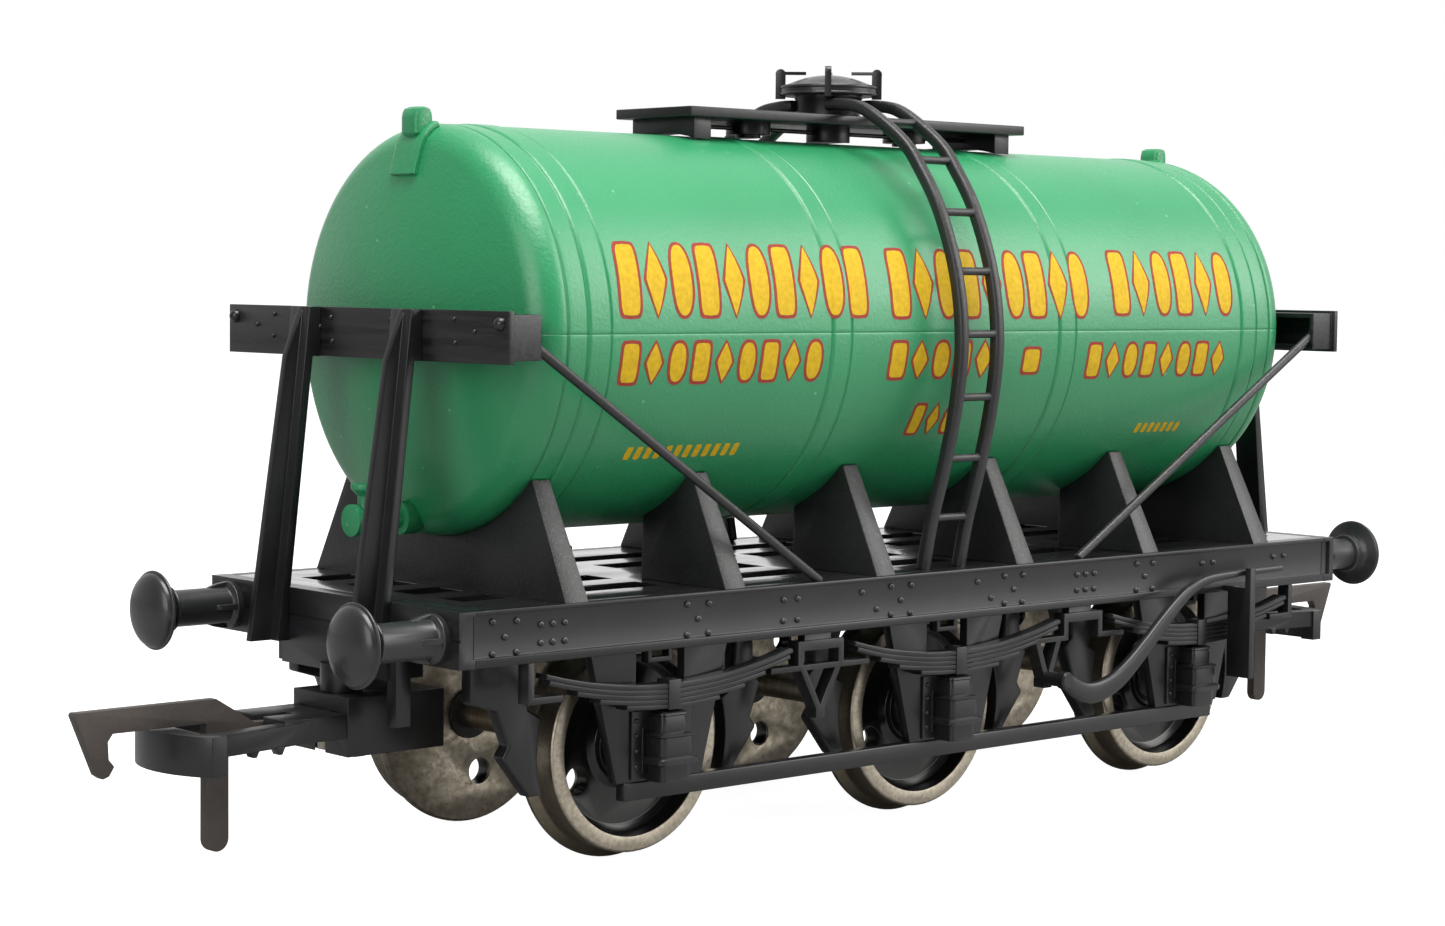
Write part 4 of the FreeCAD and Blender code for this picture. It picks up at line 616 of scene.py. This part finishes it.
def half_profile(inset):
    """From the crown's middle to the barrel's middle: crown arc, knuckle arc, straight barrel."""
    a = np.linspace(0, crown_turn, 40)
    crown = np.stack([crown_x + (crown_r - inset) * np.cos(a), (crown_r - inset) * np.sin(a)], 1)
    k = np.linspace(crown_turn, math.pi / 2, 18)[1:]
    bend = KNUCKLE - inset
    knuckle = np.stack([BARREL_HALF + bend * np.cos(k), TANK_R - KNUCKLE + bend * np.sin(k)], 1)
    even = np.linspace(BARREL_HALF - 0.2 * MM, 0, 90)
    reach = 0.3 * MM
    steps = [np.linspace(edge - reach, edge + reach, 19) for band in BANDS for edge in band]
    seam = np.linspace(BARREL_HALF - reach, BARREL_HALF - 0.02 * MM, 11)
    x = np.unique(np.concatenate([even] + steps + [seam]))[::-1]
    barrel = np.stack([x, np.full(len(x), TANK_R - inset)], 1)
    return np.vstack([crown, knuckle, barrel])


def soft_step(x, edge, width):
    """Goes smoothly from 0 to 1 as x passes an edge."""
    t = np.clip((x - edge) / width * 0.5 + 0.5, 0, 1)
    return t * t * (3 - 2 * t)


def on_band(x):
    """How far the barrel is raised at x: 1 on a band, 0 off it, soft over each edge."""
    return sum(soft_step(x, low, STEP_W) * (1 - soft_step(x, high, STEP_W)) for low, high in BANDS)


def skin_profile():
    """The outer half profile with its bands raised and the end seam cut in."""
    profile = half_profile(0.0)
    x = profile[:, 0]
    on_barrel = x <= BARREL_HALF
    edges = [edge + out * LINE_OUT for band in BANDS for edge, out in zip(band, (-1, 1))]
    line = sum(np.exp(-((x - edge) / LINE_W) ** 2) for edge in edges)
    groove = np.exp(-((x - BARREL_HALF + SEAM_IN) / SEAM_W) ** 2)
    profile[:, 1] += on_barrel * (BAND_RISE * on_band(x) - SEAM_DEPTH * groove - LINE_W * line)
    return profile


def whole_profile(half):
    """A half profile and its mirror image, end to end."""
    return np.vstack([half, (half * (-1, 1))[::-1][1:]])


def tank_shell(name, start, node):
    """Half a turn of the outer and inner profiles, joined by flat strips along the two edges."""
    outer = whole_profile(skin_profile())
    inner = whole_profile(half_profile(WALL))
    centre = (0, 0, TANK_Z)
    turn = np.concatenate([[0, 0.18, 0.42], np.linspace(1.2, 178.8, 118), [179.58, 179.82, 180]])
    out_grid = lathe_grid(outer, centre, (1, 0, 0), turn=turn + start)
    in_grid = lathe_grid(inner, centre, (1, 0, 0), start, start + 180, 60)
    axis = np.array((0.0, 0.0, TANK_Z))
    for edge, pull in JOINT_RINGS:
        ring = out_grid[:, edge]
        ring[:, 1:] -= (ring - axis)[:, 1:] * pull
    strips = [np.stack([out_grid[:, edge], in_grid[:, edge]], 1) for edge in (0, -1)]
    shell = skins(name, [out_grid, in_grid] + strips, GREEN, 0.5)
    settle(shell, "wagon", "tank_green", node)
    print(name, len(shell.data.polygons), "faces")
    return shell


tank_shell("tank_upper", 0, "tank_upper_shell")
tank_shell("tank_lower", 180, "tank_lower_shell")

# %% [markdown]
# The lifting lug is a strap that hugs the dome, with a round-topped eye on it. The strap is the
# dome's own formula, a little larger; the eye is a sweep with a nearly square section.

# %% Lifting lugs
STRAP_LIFT = 0.12 * MM


def dome_x(radius, lift):
    """How far out the dome's skin lies at a distance from the tank's axis, raised by lift."""
    r = np.asarray(radius, float)
    knuckle_root = TANK_R - KNUCKLE
    on_crown = crown_x + np.sqrt(np.maximum((crown_r + lift) ** 2 - r ** 2, 0))
    past_root = (KNUCKLE + lift) ** 2 - (r - knuckle_root) ** 2
    on_knuckle = BARREL_HALF + np.sqrt(np.maximum(past_root, 0))
    return np.where(r < crown_r * math.sin(crown_turn), on_crown, on_knuckle)


def lifting_lug(end):
    """The strap as a swept ribbon over the dome, and the eye as a short rounded block."""
    z = np.linspace(TANK_R - 3.3 * MM, TANK_R - 0.05 * MM, 14)
    strap_path = np.stack([end * dome_x(z, STRAP_LIFT), np.zeros(14), TANK_Z + z], 1)
    strap = sweep_grid(strap_path, 1.33 * MM, 0.2 * MM, (0, 1, 0), 6.0, 24)
    eye_x = BARREL_HALF + 1.65 * MM
    eye_z = TANK_Z + TANK_R
    rise = np.array([-0.85, -0.3, 0.3, 0.6, 0.85, 0.98]) * MM
    eye_path = np.stack([np.full(6, end * eye_x), np.zeros(6), eye_z + rise], 1)
    half = np.array([0.72, 0.72, 0.72, 0.66, 0.5, 0.3]) * MM
    eye = sweep_grid(eye_path, 0.86 * MM, half, (0, 1, 0), 5.0, 24)
    lug = skins("lifting_lug_" + END[end], [strap, eye], GREEN, 0.7)
    return settle(lug, "wagon", "tank_green", "tank_upper_shell")


for end in (-1, 1):
    print(lifting_lug(end).name)

# %% [markdown]
# ## Printed marks
# The side carries rows of plain printed marks in yellow with a red edge. They are not letters: each
# is a block, a diamond or a leaf, laid on the barrel. A shape is a grid in distance along the tank
# and angle round it, a hair above the paint, and the red one underneath is a little larger.

# %% Printed marks
RED_LIFT = 0.012 * MM
YELLOW_LIFT = 2.5 * RED_LIFT
MARK_SINK = 0.002 * MM
MARK_EDGE = 0.22 * MM
# shift in x, in metres, for each radian of height
SLANT = 0.0006
# powers of a block, a diamond and a leaf
POWERS = (6.0, 1.1, 2.4)
# first and last x in millimetres, low and high angle in degrees, number of shapes, and the share
# of the pitch that each one fills
MARK_ROWS = ((-30.2, -8.4, 4.0, 26.0, 10, 0.9), (-6.6, 13.8, 3.6, 25.6, 9, 0.9),
             (16.0, 30.2, 4.4, 26.4, 6, 0.86), (-30.2, -12.6, -14.2, -1.6, 9, 0.86),
             (-6.8, 3.6, -14.4, -2.2, 5, 0.86), (6.4, 8.6, -13.6, -4.6, 1, 0.9),
             (13.2, 29.2, -15.4, -3.4, 8, 0.84), (-3.4, 1.4, -33.0, -21.6, 3, 0.84))
SMALL_ROWS = ((-27.8, -18.0, -37.4, -33.0, 12, 0.6), (21.2, 26.4, -35.6, -31.8, 7, 0.6))


def block(x0, x1, low, high, power, grow, lift):
    """A solid shape on the left of the barrel between two x and two angles, as a thin closed slab.
    Its half width at height t, from -1 to 1, is (1 - |t|^power)^(1/power)."""
    t = np.sin(np.linspace(-np.pi / 2, np.pi / 2, 17))[:, None]
    s = np.linspace(-1, 1, 13)[None, :]
    half_height = math.radians(high - low) / 2 + grow / TANK_R
    half_width = (x1 - x0) / 2 + grow
    swell = np.maximum(1 - np.abs(t) ** power, 0) ** (1 / power)
    angle = math.radians((low + high) / 2) + half_height * t + 0 * s
    x = (x0 + x1) / 2 + half_width * swell * s + SLANT * t * half_height
    radius = TANK_R + BAND_RISE * on_band(np.abs(x))

    def at(height):
        r = radius + height
        return np.stack([x, -r * np.cos(angle), TANK_Z + r * np.sin(angle)], -1)

    top, under = at(lift), at(-MARK_SINK)
    sides = [np.stack([top[:, 0], under[:, 0]]), np.stack([top[:, -1], under[:, -1]])]
    return [top, under] + sides


def row_of_marks(row):
    """Evenly spaced shapes: (x0, x1, low, high) for each."""
    first, last, low, high, count, fill = row
    pitch = (last - first) / count
    half = pitch * fill / 2
    middles = [first + pitch * (k + 0.5) for k in range(count)]
    return [((x - half) * MM, (x + half) * MM, low, high) for x in middles]


def printed_marks(side):
    """All marks of one side."""
    red, yellow = [], []
    for row in MARK_ROWS:
        for k, (x0, x1, low, high) in enumerate(row_of_marks(row)):
            power = POWERS[k % len(POWERS)]
            red += block(x0, x1, low, high, power, 0.0, RED_LIFT)
            yellow += block(x0, x1, low, high, power, -MARK_EDGE, YELLOW_LIFT)
    for row in SMALL_ROWS:
        for x0, x1, low, high in row_of_marks(row):
            yellow += block(x0, x1, low, high, POWERS[0], 0.0, RED_LIFT)
    turn = from_left(side)
    for colour, grids, paint in (("red", red, RED), ("yellow", yellow, YELLOW)):
        name = "printed_%s_%s" % (colour, SIDE[side])
        piece = skins(name, [g * turn for g in grids], paint, 1.2)
        settle(piece, "wagon", "tank_green")
        print(piece.name, len(piece.data.polygons), "faces")


for side in (-1, 1):
    printed_marks(side)

# %% [markdown]
# ## Moulded parts
# Most of the frame is injection-moulded: its edges are never quite sharp, and that thin bright line
# along each edge is what makes it look real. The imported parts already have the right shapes, so
# each is copied, its loose triangles are merged into whole faces, and every crease is rounded.

# %% Moulded copies
# faces closer to flat than FLAT are merged, creases over CREASE are rounded, and what is still
# over SHARP is shaded sharp
FLAT = math.radians(0.6)
CREASE = math.radians(28)
SHARP = math.radians(32)


def moulded(node, body, slot, material, edge):
    """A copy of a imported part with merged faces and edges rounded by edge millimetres."""
    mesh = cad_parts[node].data.copy()
    bm = bmesh.new()
    bm.from_mesh(mesh)
    bmesh.ops.remove_doubles(bm, verts=bm.verts, dist=MERGE)
    bmesh.ops.dissolve_limit(bm, angle_limit=FLAT, verts=bm.verts, edges=bm.edges)
    creases = [e for e in bm.edges if len(e.link_faces) == 2 and e.calc_face_angle(0) > CREASE]
    bmesh.ops.bevel(bm, geom=creases, offset=edge * MM, segments=2, profile=0.6,
                    affect="EDGES", clamp_overlap=True)
    bmesh.ops.remove_doubles(bm, verts=bm.verts, dist=MERGE)
    return settle(finished("moulded_" + node, mesh, bm, material, SHARP), body, slot, node)


# part, finish, and the edge's rounding in millimetres
MOULDED = [("deck", DECK_BLACK, 0.07), ("hanger_brackets", SATIN, 0.06),
           ("lever_guards", SATIN, 0.06), ("brake_shoes", SATIN, 0.16), ("walkway", TOP_BLACK, 0.08),
           ("walkway_supports", TOP_BLACK, 0.05), ("manhole_clamps", TOP_BLACK, 0.05),
           ("outlet_valve", GREEN, 0.1)]
MOULDED += [("saddle_%d" % number, GRAINY, 0.12) for number in range(1, 7)]
for end in END.values():
    MOULDED += [("headstock_" + end, SATIN, 0.1), ("crossbeam_" + end, BRUSHED, 0.1),
                ("posts_" + end, SATIN, 0.1)]
for side in SIDE.values():
    MOULDED += [("solebar_" + side, SATIN, 0.08), ("axleguards_" + side, SATIN, 0.07),
                ("springs_" + side, SATIN, 0.02), ("keeper_bar_" + side, SATIN, 0.1)]
SLOTS = {TOP_BLACK.name: "top_black", GREEN.name: "tank_green"}
for node, material, edge in MOULDED:
    slot = SLOTS.get(material.name, "frame_black")
    piece = moulded(node, "wagon", slot, material, edge)
    print(piece.name, len(piece.data.polygons), "faces")

# %% [markdown]
# The couplings move, so each of their copies rides on its own body. The wheels are copies too:
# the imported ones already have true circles, and only their edges are eased.

# %% Couplings and wheels
for end in END.values():
    moulded("coupling_pocket_" + end, end + "_coupling", "coupling_black", COUPLING, 0.1)
    moulded("coupling_" + end, end + "_coupling", "coupling_black", COUPLING, 0.1)
    moulded("coupling_hook_" + end, end + "_hook", "hook_brown", HOOK, 0.06)
WHEEL_BODY = {"front": "front_wheelset", "middle": "middle_wheels", "rear": "rear_wheelset"}
for place in PLACES:
    moulded("wheels_" + place, WHEEL_BODY[place], "wheel_metal", WHEEL[place], 0.05)
    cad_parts["axle_" + place].data.materials[0] = STEEL
    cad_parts["wheel_bushes_" + place].data.materials[0] = BUSH
for node in ("ballast_weight", "screws"):
    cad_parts[node].data.materials[0] = STEEL
print("couplings and wheels done")

# %% [markdown]
# ## Turned parts
# The buffers are round, so each is a lathe profile with the small arcs that the eye picks up: the
# thin rim and bulge of its head, and its collars. Four ribs stand on its base.

# %% Buffers
HEADSTOCK_FACE = 42.5 * MM
RIB_HEIGHTS = np.array([0.5, 0.5, 0.48, 0.42, 0.32, 0.2]) * MM


def arc(centre_along, centre_radius, half_along, half_radius, start, end, steps=8):
    """Points of an elliptical arc in (along, radius), between two angles in degrees."""
    return [(centre_along + half_along * math.sin(t), centre_radius + half_radius * math.cos(t))
            for t in np.radians(np.linspace(start, end, steps))]


def buffer_profile():
    """Base, shank, two collars, cone, rim and domed face, in millimetres from the headstock."""
    shank, wide = 1.18, 2.53
    head = 5.88
    profile = [(-0.2, 0.0), (-0.2, 1.5), (0.0, 1.5)]
    profile += arc(0.35, 1.43, 0.1, 0.1, -20, 90, 5)
    profile += [(0.62, shank + 0.03), (0.7, shank), (head - 1.34, shank)]
    profile += arc(head - 1.18, shank + 0.14, 0.12, 0.14, -80, 80, 7)
    profile += [(head - 1.02, shank + 0.02)]
    profile += arc(head - 0.86, shank + 0.12, 0.1, 0.15, -80, 70, 6)
    profile += [(head - 0.72, shank + 0.04), (head - 0.6, shank + 0.16),
                (head - 0.42, shank + 0.6), (head - 0.28, wide - 0.2)]
    profile += arc(head - 0.13, wide - 0.08, 0.1, 0.08, -60, 60, 7)
    profile += [(head - 0.02, wide - 0.13)]
    profile += arc(head, 0.0, 0.85, wide - 0.17, 0, 90, 16)
    return np.array(profile) * MM


def buffer_piece(end, side):
    """A buffer on the headstock, with four ribs on its base."""
    node = "buffer_%s_%s" % (END[end], SIDE[side])
    low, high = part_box(node)
    root = np.array((end * HEADSTOCK_FACE, (low[1] + high[1]) / 2, (low[2] + high[2]) / 2))
    body = lathe_grid(buffer_profile(), root, (end, 0, 0), steps=72)
    ribs = []
    for angle in (0, 90, 180, 270):
        a = math.radians(angle)
        out = np.array((0.0, math.sin(a), math.cos(a)))
        along = np.linspace(0.0, 1.85, 6) * MM
        path = root + along[:, None] * (end, 0, 0) + 1.0 * MM * out
        ribs.append(sweep_grid(path, RIB_HEIGHTS, 0.19 * MM, out, 6.0, 12))
    piece = skins(node + "_turned", [body] + ribs, GLOSS, 0.5)
    return settle(piece, "wagon", "buffer_black", node)


for end in (-1, 1):
    for side in (-1, 1):
        print(buffer_piece(end, side).name)

# %% [markdown]
# The manhole's neck and lid are turned as well. The neck flares at both ends, and the lid's crown
# falls away with the square of the distance from its middle.

# %% Manhole
WALK_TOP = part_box("walkway")[1][2]
LID_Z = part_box("manhole_lid")[0][2]


def manhole():
    """The flared neck, and the lid with its rounded rim, a shallow step and the crown."""
    neck = [(0.0, 0.0), (0.0, 2.4), (0.12, 2.4), (0.2, 2.25), (1.2, 2.32), (1.4, 2.44),
            (1.54, 2.44), (1.54, 0.0)]
    turned = lathe_grid(np.array(neck) * MM, (0, 0, WALK_TOP), (0, 0, 1))
    piece = skins("manhole_neck_turned", [turned], TOP_BLACK)
    settle(piece, "wagon", "top_black", "manhole_neck")
    lid = [(0.0, 0.0), (0.0, 3.3)] + arc(0.12, 3.35, 0.12, 0.14, -80, 60, 6)
    lid += arc(0.58, 3.36, 0.14, 0.13, -60, 90, 8)
    lid += [(0.74, 3.18), (0.78, 3.1)]
    lid += [(0.78 + 0.7 * (1 - (r / 3.0) ** 2), r) for r in np.linspace(3.0, 0.0, 16)]
    turned = lathe_grid(np.array(lid) * MM, (0, 0, LID_Z), (0, 0, 1))
    piece = skins("manhole_lid_turned", [turned], GLOSS)
    settle(piece, "wagon", "top_black", "manhole_lid")
    print("manhole neck and lid")


manhole()

# %% [markdown]
# ## Bent parts
# The ladders, the tie rods and the brake levers are bars that follow a path. The path goes
# smoothly through a few bends, and a rounded section is swept along it. The ladder's stiles bend
# round the tank, so each bend is written as an angle round it and a clearance from its skin.

# %% Ladders
FRAME_HALF_W = 13.34 * MM
DECK_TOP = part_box("deck")[1][2]
LADDER_FOOT = ((11.6, 0.0), (12.3, 3.25))
LADDER_BENDS = ((-32.5, 3.06), (-16.6, 2.13), (-0.9, 1.85), (16.0, 1.77), (33.1, 2.04),
                (46.1, 2.43), (53.8, 2.76), (63.9, 2.94), (72.0, 3.13), (79.2, 2.93), (83.8, 2.76))
STILE_HALF = 0.42 * MM
STILE_X = 1.75 * MM
RUNG_START = 3.63 * MM
RUNG_STEP = 4.27 * MM
RUNG_CLEAR = 2.8 * MM


def stile_line():
    """The middle line of a left stile: distance from the wagon's middle, and height."""
    feet = [(-y * MM, DECK_TOP + h * MM) for y, h in LADDER_FOOT]
    angle, clearance = np.array(LADDER_BENDS).T
    angle = np.radians(angle)
    reach = TANK_R + clearance * MM
    bends = np.stack([-reach * np.cos(angle), TANK_Z + reach * np.sin(angle)], 1)
    return curve_through(np.vstack([feet, bends]), 8)


def ladder(side):
    """Two swept stiles, and rungs at equal steps along them."""
    line = stile_line()
    run = np.concatenate([[0], np.cumsum(np.linalg.norm(np.diff(line, axis=0), axis=1))])
    marks = np.arange(RUNG_START, run[-1] - RUNG_CLEAR, RUNG_STEP)
    rung_y, rung_z = [np.interp(marks, run, line[:, k]) for k in (0, 1)]
    grids = []
    for x in (-STILE_X, STILE_X):
        path = np.column_stack([np.full(len(line), x), line])
        grids.append(sweep_grid(path, STILE_HALF, STILE_HALF, (1, 0, 0), 3.4, 16))
    for y, z in zip(rung_y, rung_z):
        across = np.linspace(-STILE_X, STILE_X, 9)
        swell = 0.27 + 0.12 * (np.abs(across) / STILE_X) ** 6
        path = np.column_stack([across, np.full(9, y), np.full(9, z)])
        grids.append(sweep_grid(path, swell * MM, swell * MM, (0, 0, 1), 2.4, 12))
    turn = from_left(side)
    name = "ladder_" + SIDE[side]
    piece = skins(name + "_bent", [g * turn for g in grids], GRAINY, 0.7)
    settle(piece, "wagon", "top_black", name)
    print(piece.name, len(marks), "rungs")


for side in (-1, 1):
    ladder(side)

# %% [markdown]
# The tie rods run straight down from the end beams to the solebars. The brake lever is a flat bar
# whose height changes on its way from the pivot to the handle.

# %% Tie rods and brake levers
TIE_TOP = np.array((37.9, 14.1, 32.95)) * MM
TIE_FOOT = np.array((12.8, 12.85, 17.27)) * MM
ROD_R = 0.31 * MM
# x, z and height of the blade, and profile of the pivot, in millimetres
LEVER = ((9.3, 9.04, 1.2), (11.0, 8.15, 1.4), (12.6, 7.95, 1.5), (14.6, 8.5, 1.4),
         (16.3, 9.5, 1.25), (18.1, 10.9, 1.1), (19.9, 12.4, 1.0), (21.6, 13.7, 0.9),
         (23.0, 14.55, 0.8), (24.8, 15.16, 0.66), (28.1, 15.4, 0.5), (33.6, 15.5, 0.45))
PIVOT = ((0.0, 0.0), (0.0, 0.5), (1.25, 0.5), (1.25, 0.62), (1.8, 0.62), (1.92, 0.5), (1.92, 0.0))
LEVER_Y = -14.9 * MM


def tie_rods():
    """Four straight round rods, each with a small tab inside the end of its beam."""
    grids = []
    for end in (-1, 1):
        for side in (-1, 1):
            turn = np.array((end, side, 1.0))
            path = np.linspace(TIE_TOP, TIE_FOOT, 12) * turn
            grids.append(sweep_grid(path, ROD_R, ROD_R, (0, 1, 0), 2.2, 14))
            tab = (TIE_TOP + np.linspace((-0.2, 0, 0), (0.7, 0, 0), 4) * MM) * turn
            grids.append(sweep_grid(tab, 0.1 * MM, 0.45 * MM, (0, 1, 0), 6.0, 12))
    piece = skins("tie_rods_round", grids, GRAINY, 0.7)
    return settle(piece, "wagon", "frame_black", "tie_rods")


def brake_lever(side):
    """A flat bar that swells and bends, with the round boss it turns on."""
    shape = curve_through(np.array(LEVER), 7) * MM
    path = np.column_stack([shape[:, 0], np.full(len(shape), LEVER_Y), shape[:, 1]])
    blade = sweep_grid(path, 0.34 * MM, shape[:, 2] / 2, (0, 1, 0), 4.0, 20)
    x, z = shape[0, :2]
    boss = lathe_grid(np.array(PIVOT) * MM, (x, -FRAME_HALF_W, z), (0, -1, 0), steps=24)
    turn = from_left(side)
    name = "brake_lever_" + SIDE[side]
    piece = skins(name + "_bent", [blade * turn, boss * turn], SATIN, 0.7)
    return settle(piece, "wagon", "frame_black", name)


print(tie_rods().name, brake_lever(-1).name, brake_lever(1).name)

# %% [markdown]
# ## Axleboxes
# An axlebox is a small cast column with three covers, one above the other, each with a lip that
# throws off the rain. Its outline seen from above is a rounded rectangle, whose size changes up the
# column; the table of heights, half widths and depths below is the whole shape. A thin plate lies
# behind it, and a thin strip beside it.

# %% Axleboxes
GUARD_FACE = 12.3 * MM
PLATE_T = 0.2 * MM
STRIP_HALF = 0.09 * MM
# height, half width and depth of each ring, in millimetres
COLUMN = ((5.62, 0.0, 0.0), (5.62, 1.12, 1.62), (5.66, 1.18, 1.7), (6.6, 1.18, 1.7),
          (6.7, 1.24, 1.76), (6.74, 1.52, 1.98), (6.82, 1.6, 2.06), (7.1, 1.6, 2.06),
          (7.2, 1.5, 1.96), (7.24, 1.3, 1.78), (7.8, 1.3, 1.84), (8.42, 1.3, 1.8),
          (8.5, 1.36, 1.88), (8.62, 1.36, 1.88), (8.7, 1.24, 1.74), (8.74, 1.06, 1.46),
          (9.3, 1.04, 1.5), (9.72, 1.0, 1.42), (9.8, 1.1, 1.52), (9.92, 1.08, 1.5),
          (10.0, 0.98, 1.36), (10.02, 0.0, 0.0))


def column_grid(x, side):
    """The column as rounded rings, each half its depth out from the guard's face at its middle."""
    z, half, depth = np.array(COLUMN).T * MM
    u, v = rounded(32, 0.28)
    across = x + half[:, None] * u
    out = side * (GUARD_FACE + depth[:, None] / 2 * (1 + v))
    return np.stack([across, out, np.broadcast_to(z[:, None], across.shape)], -1)


def axleboxes(side):
    """Three columns with their plates and the thin strip beside each."""
    grids = []
    y = side * (GUARD_FACE + PLATE_T / 2)
    for x in AXLE_X.values():
        grids.append(column_grid(x, side))
        plate = np.column_stack([np.full(6, x), np.full(6, y), np.linspace(5.75, 10.05, 6) * MM])
        grids.append(sweep_grid(plate, 2.45 * MM, PLATE_T / 2, (1, 0, 0), 8.0, 24))
        beside = np.linspace((side * 1.62, side * 0.12, 6.2), (side * 1.62, side * 0.12, 9.05), 6)
        strip = plate * (1, 1, 0) + beside * MM
        grids.append(sweep_grid(strip, STRIP_HALF, STRIP_HALF, (1, 0, 0), 4.0, 10))
    name = "axleboxes_" + SIDE[side]
    piece = skins(name + "_cast", grids, SATIN, 0.55)
    settle(piece, "wagon", "frame_black", name)
    print(piece.name, len(piece.data.polygons), "faces")


for side in (-1, 1):
    axleboxes(side)

# %% [markdown]
# ## Rivets
# Rivet heads stand in groups where brackets meet the solebar, in mirrored pairs on the end beams,
# and in a column on each axlebox's plate. A head is a low dome of three rings; it is worked out
# once for each row and copied to every centre by adding arrays. Tables are in millimetres.

# %% Rivets


def rivet_grids(centres, out, radius):
    """Low domes facing out: a ring's radius falls as the cosine, its height grows as the sine."""
    out = np.asarray(out, float)
    first = np.array((0.0, 0.0, 1.0))
    second = np.cross(out, first)
    lift = np.radians(np.array([0, 0, 30, 60, 90]))
    ring = radius * np.cos(lift)
    height = radius * np.sin(lift)
    height[0] = -0.05 * MM
    turn = np.radians(np.linspace(0, 360, 9))
    spoke = np.cos(turn)[:, None] * first + np.sin(turn)[:, None] * second
    dome = ring[:, None, None] * spoke[None] + height[:, None, None] * out
    return [np.asarray(c, float) + dome for c in centres]


# spots (x, z) about a group's middle
FIVE = ((-0.92, 0.95), (0.9, 0.9), (0.0, 0.0), (-0.92, -0.95), (0.88, -0.95))
SIX = tuple((x, z) for x in (-0.92, 0.0, 0.92) for z in (-0.55, 0.55))
FOUR = tuple((x, z) for x in (-0.63, 0.63) for z in (-0.68, 0.68))
PAIR = ((-0.65, 0.55), (0.65, 0.55))
SEVEN = ((-2.9, 0.7), (-0.15, 0.92), (1.75, 0.9), (0.8, -0.05), (-1.5, -0.5), (-0.15, -0.95),
         (1.7, -0.97))
SOLEBAR_GROUPS = ((-38.95, FIVE), (-35.3, SIX), (-23.6, FIVE), (-15.6, FOUR), (-6.2, SEVEN),
                  (5.0, SEVEN), (13.4, SIX), (19.95, FIVE), (27.2, PAIR), (35.8, PAIR))
SOLEBAR_RIVET_R = 0.23 * MM
SOLEBAR_WEB = FRAME_HALF_W - 0.24 * MM
SOLEBAR_Z = 15.58


def solebar_rivets():
    """Groups of heads along both solebars' webs."""
    grids = []
    for side in (-1, 1):
        centres = [(-side * (x + dx) * MM, side * SOLEBAR_WEB, (SOLEBAR_Z + dz) * MM)
                   for x, spots in SOLEBAR_GROUPS for dx, dz in spots]
        grids += rivet_grids(centres, (0, side, 0), SOLEBAR_RIVET_R)
    piece = skins("solebar_rivets", grids, GLOSS, 1.0)
    settle(piece, "wagon", "frame_black")
    print(len(grids), "solebar rivets")


# distance from the middle and height, on one half of a beam
BEAM_SPOTS = ((6.1, 34.35), (6.2, 33.1), (4.45, 33.6), (3.2, 34.2), (3.05, 32.7), (9.6, 34.3),
              (9.7, 32.9), (11.6, 33.6))
BEAM_END_SPOT = (14.1, 34.1)
BEAM_FACE = 40.18 * MM
BEAM_RIVET_R = 0.17 * MM
BEAM_END_R = 0.45 * MM


def beam_rivets():
    """Heads on both end beams, in mirrored pairs, and a larger one at each end."""
    grids = []
    for end in (-1, 1):
        for spots, radius in ((BEAM_SPOTS, BEAM_RIVET_R), ((BEAM_END_SPOT,), BEAM_END_R)):
            centres = [(end * BEAM_FACE, s * y * MM, z * MM) for y, z in spots for s in (-1, 1)]
            grids += rivet_grids(centres, (end, 0, 0), radius)
    piece = skins("beam_rivets", grids, SATIN, 1.0)
    settle(piece, "wagon", "frame_black")
    print(len(grids), "beam rivets")


GUARD_HEIGHTS = (6.55, 7.54, 8.53, 9.46)
GUARD_OUT = 2.1
GUARD_RIVET_R = 0.16 * MM


def guard_rivets():
    """A column of heads down the edge of every axlebox's plate."""
    face = GUARD_FACE + PLATE_T
    grids = []
    for side in (-1, 1):
        centres = [(x + side * GUARD_OUT * MM, side * face, z * MM)
                   for x in AXLE_X.values() for z in GUARD_HEIGHTS]
        grids += rivet_grids(centres, (0, side, 0), GUARD_RIVET_R)
    piece = skins("guard_rivets", grids, SATIN, 1.0)
    settle(piece, "wagon", "frame_black")
    print(len(grids), "axleguard rivets")


solebar_rivets()
beam_rivets()
guard_rivets()
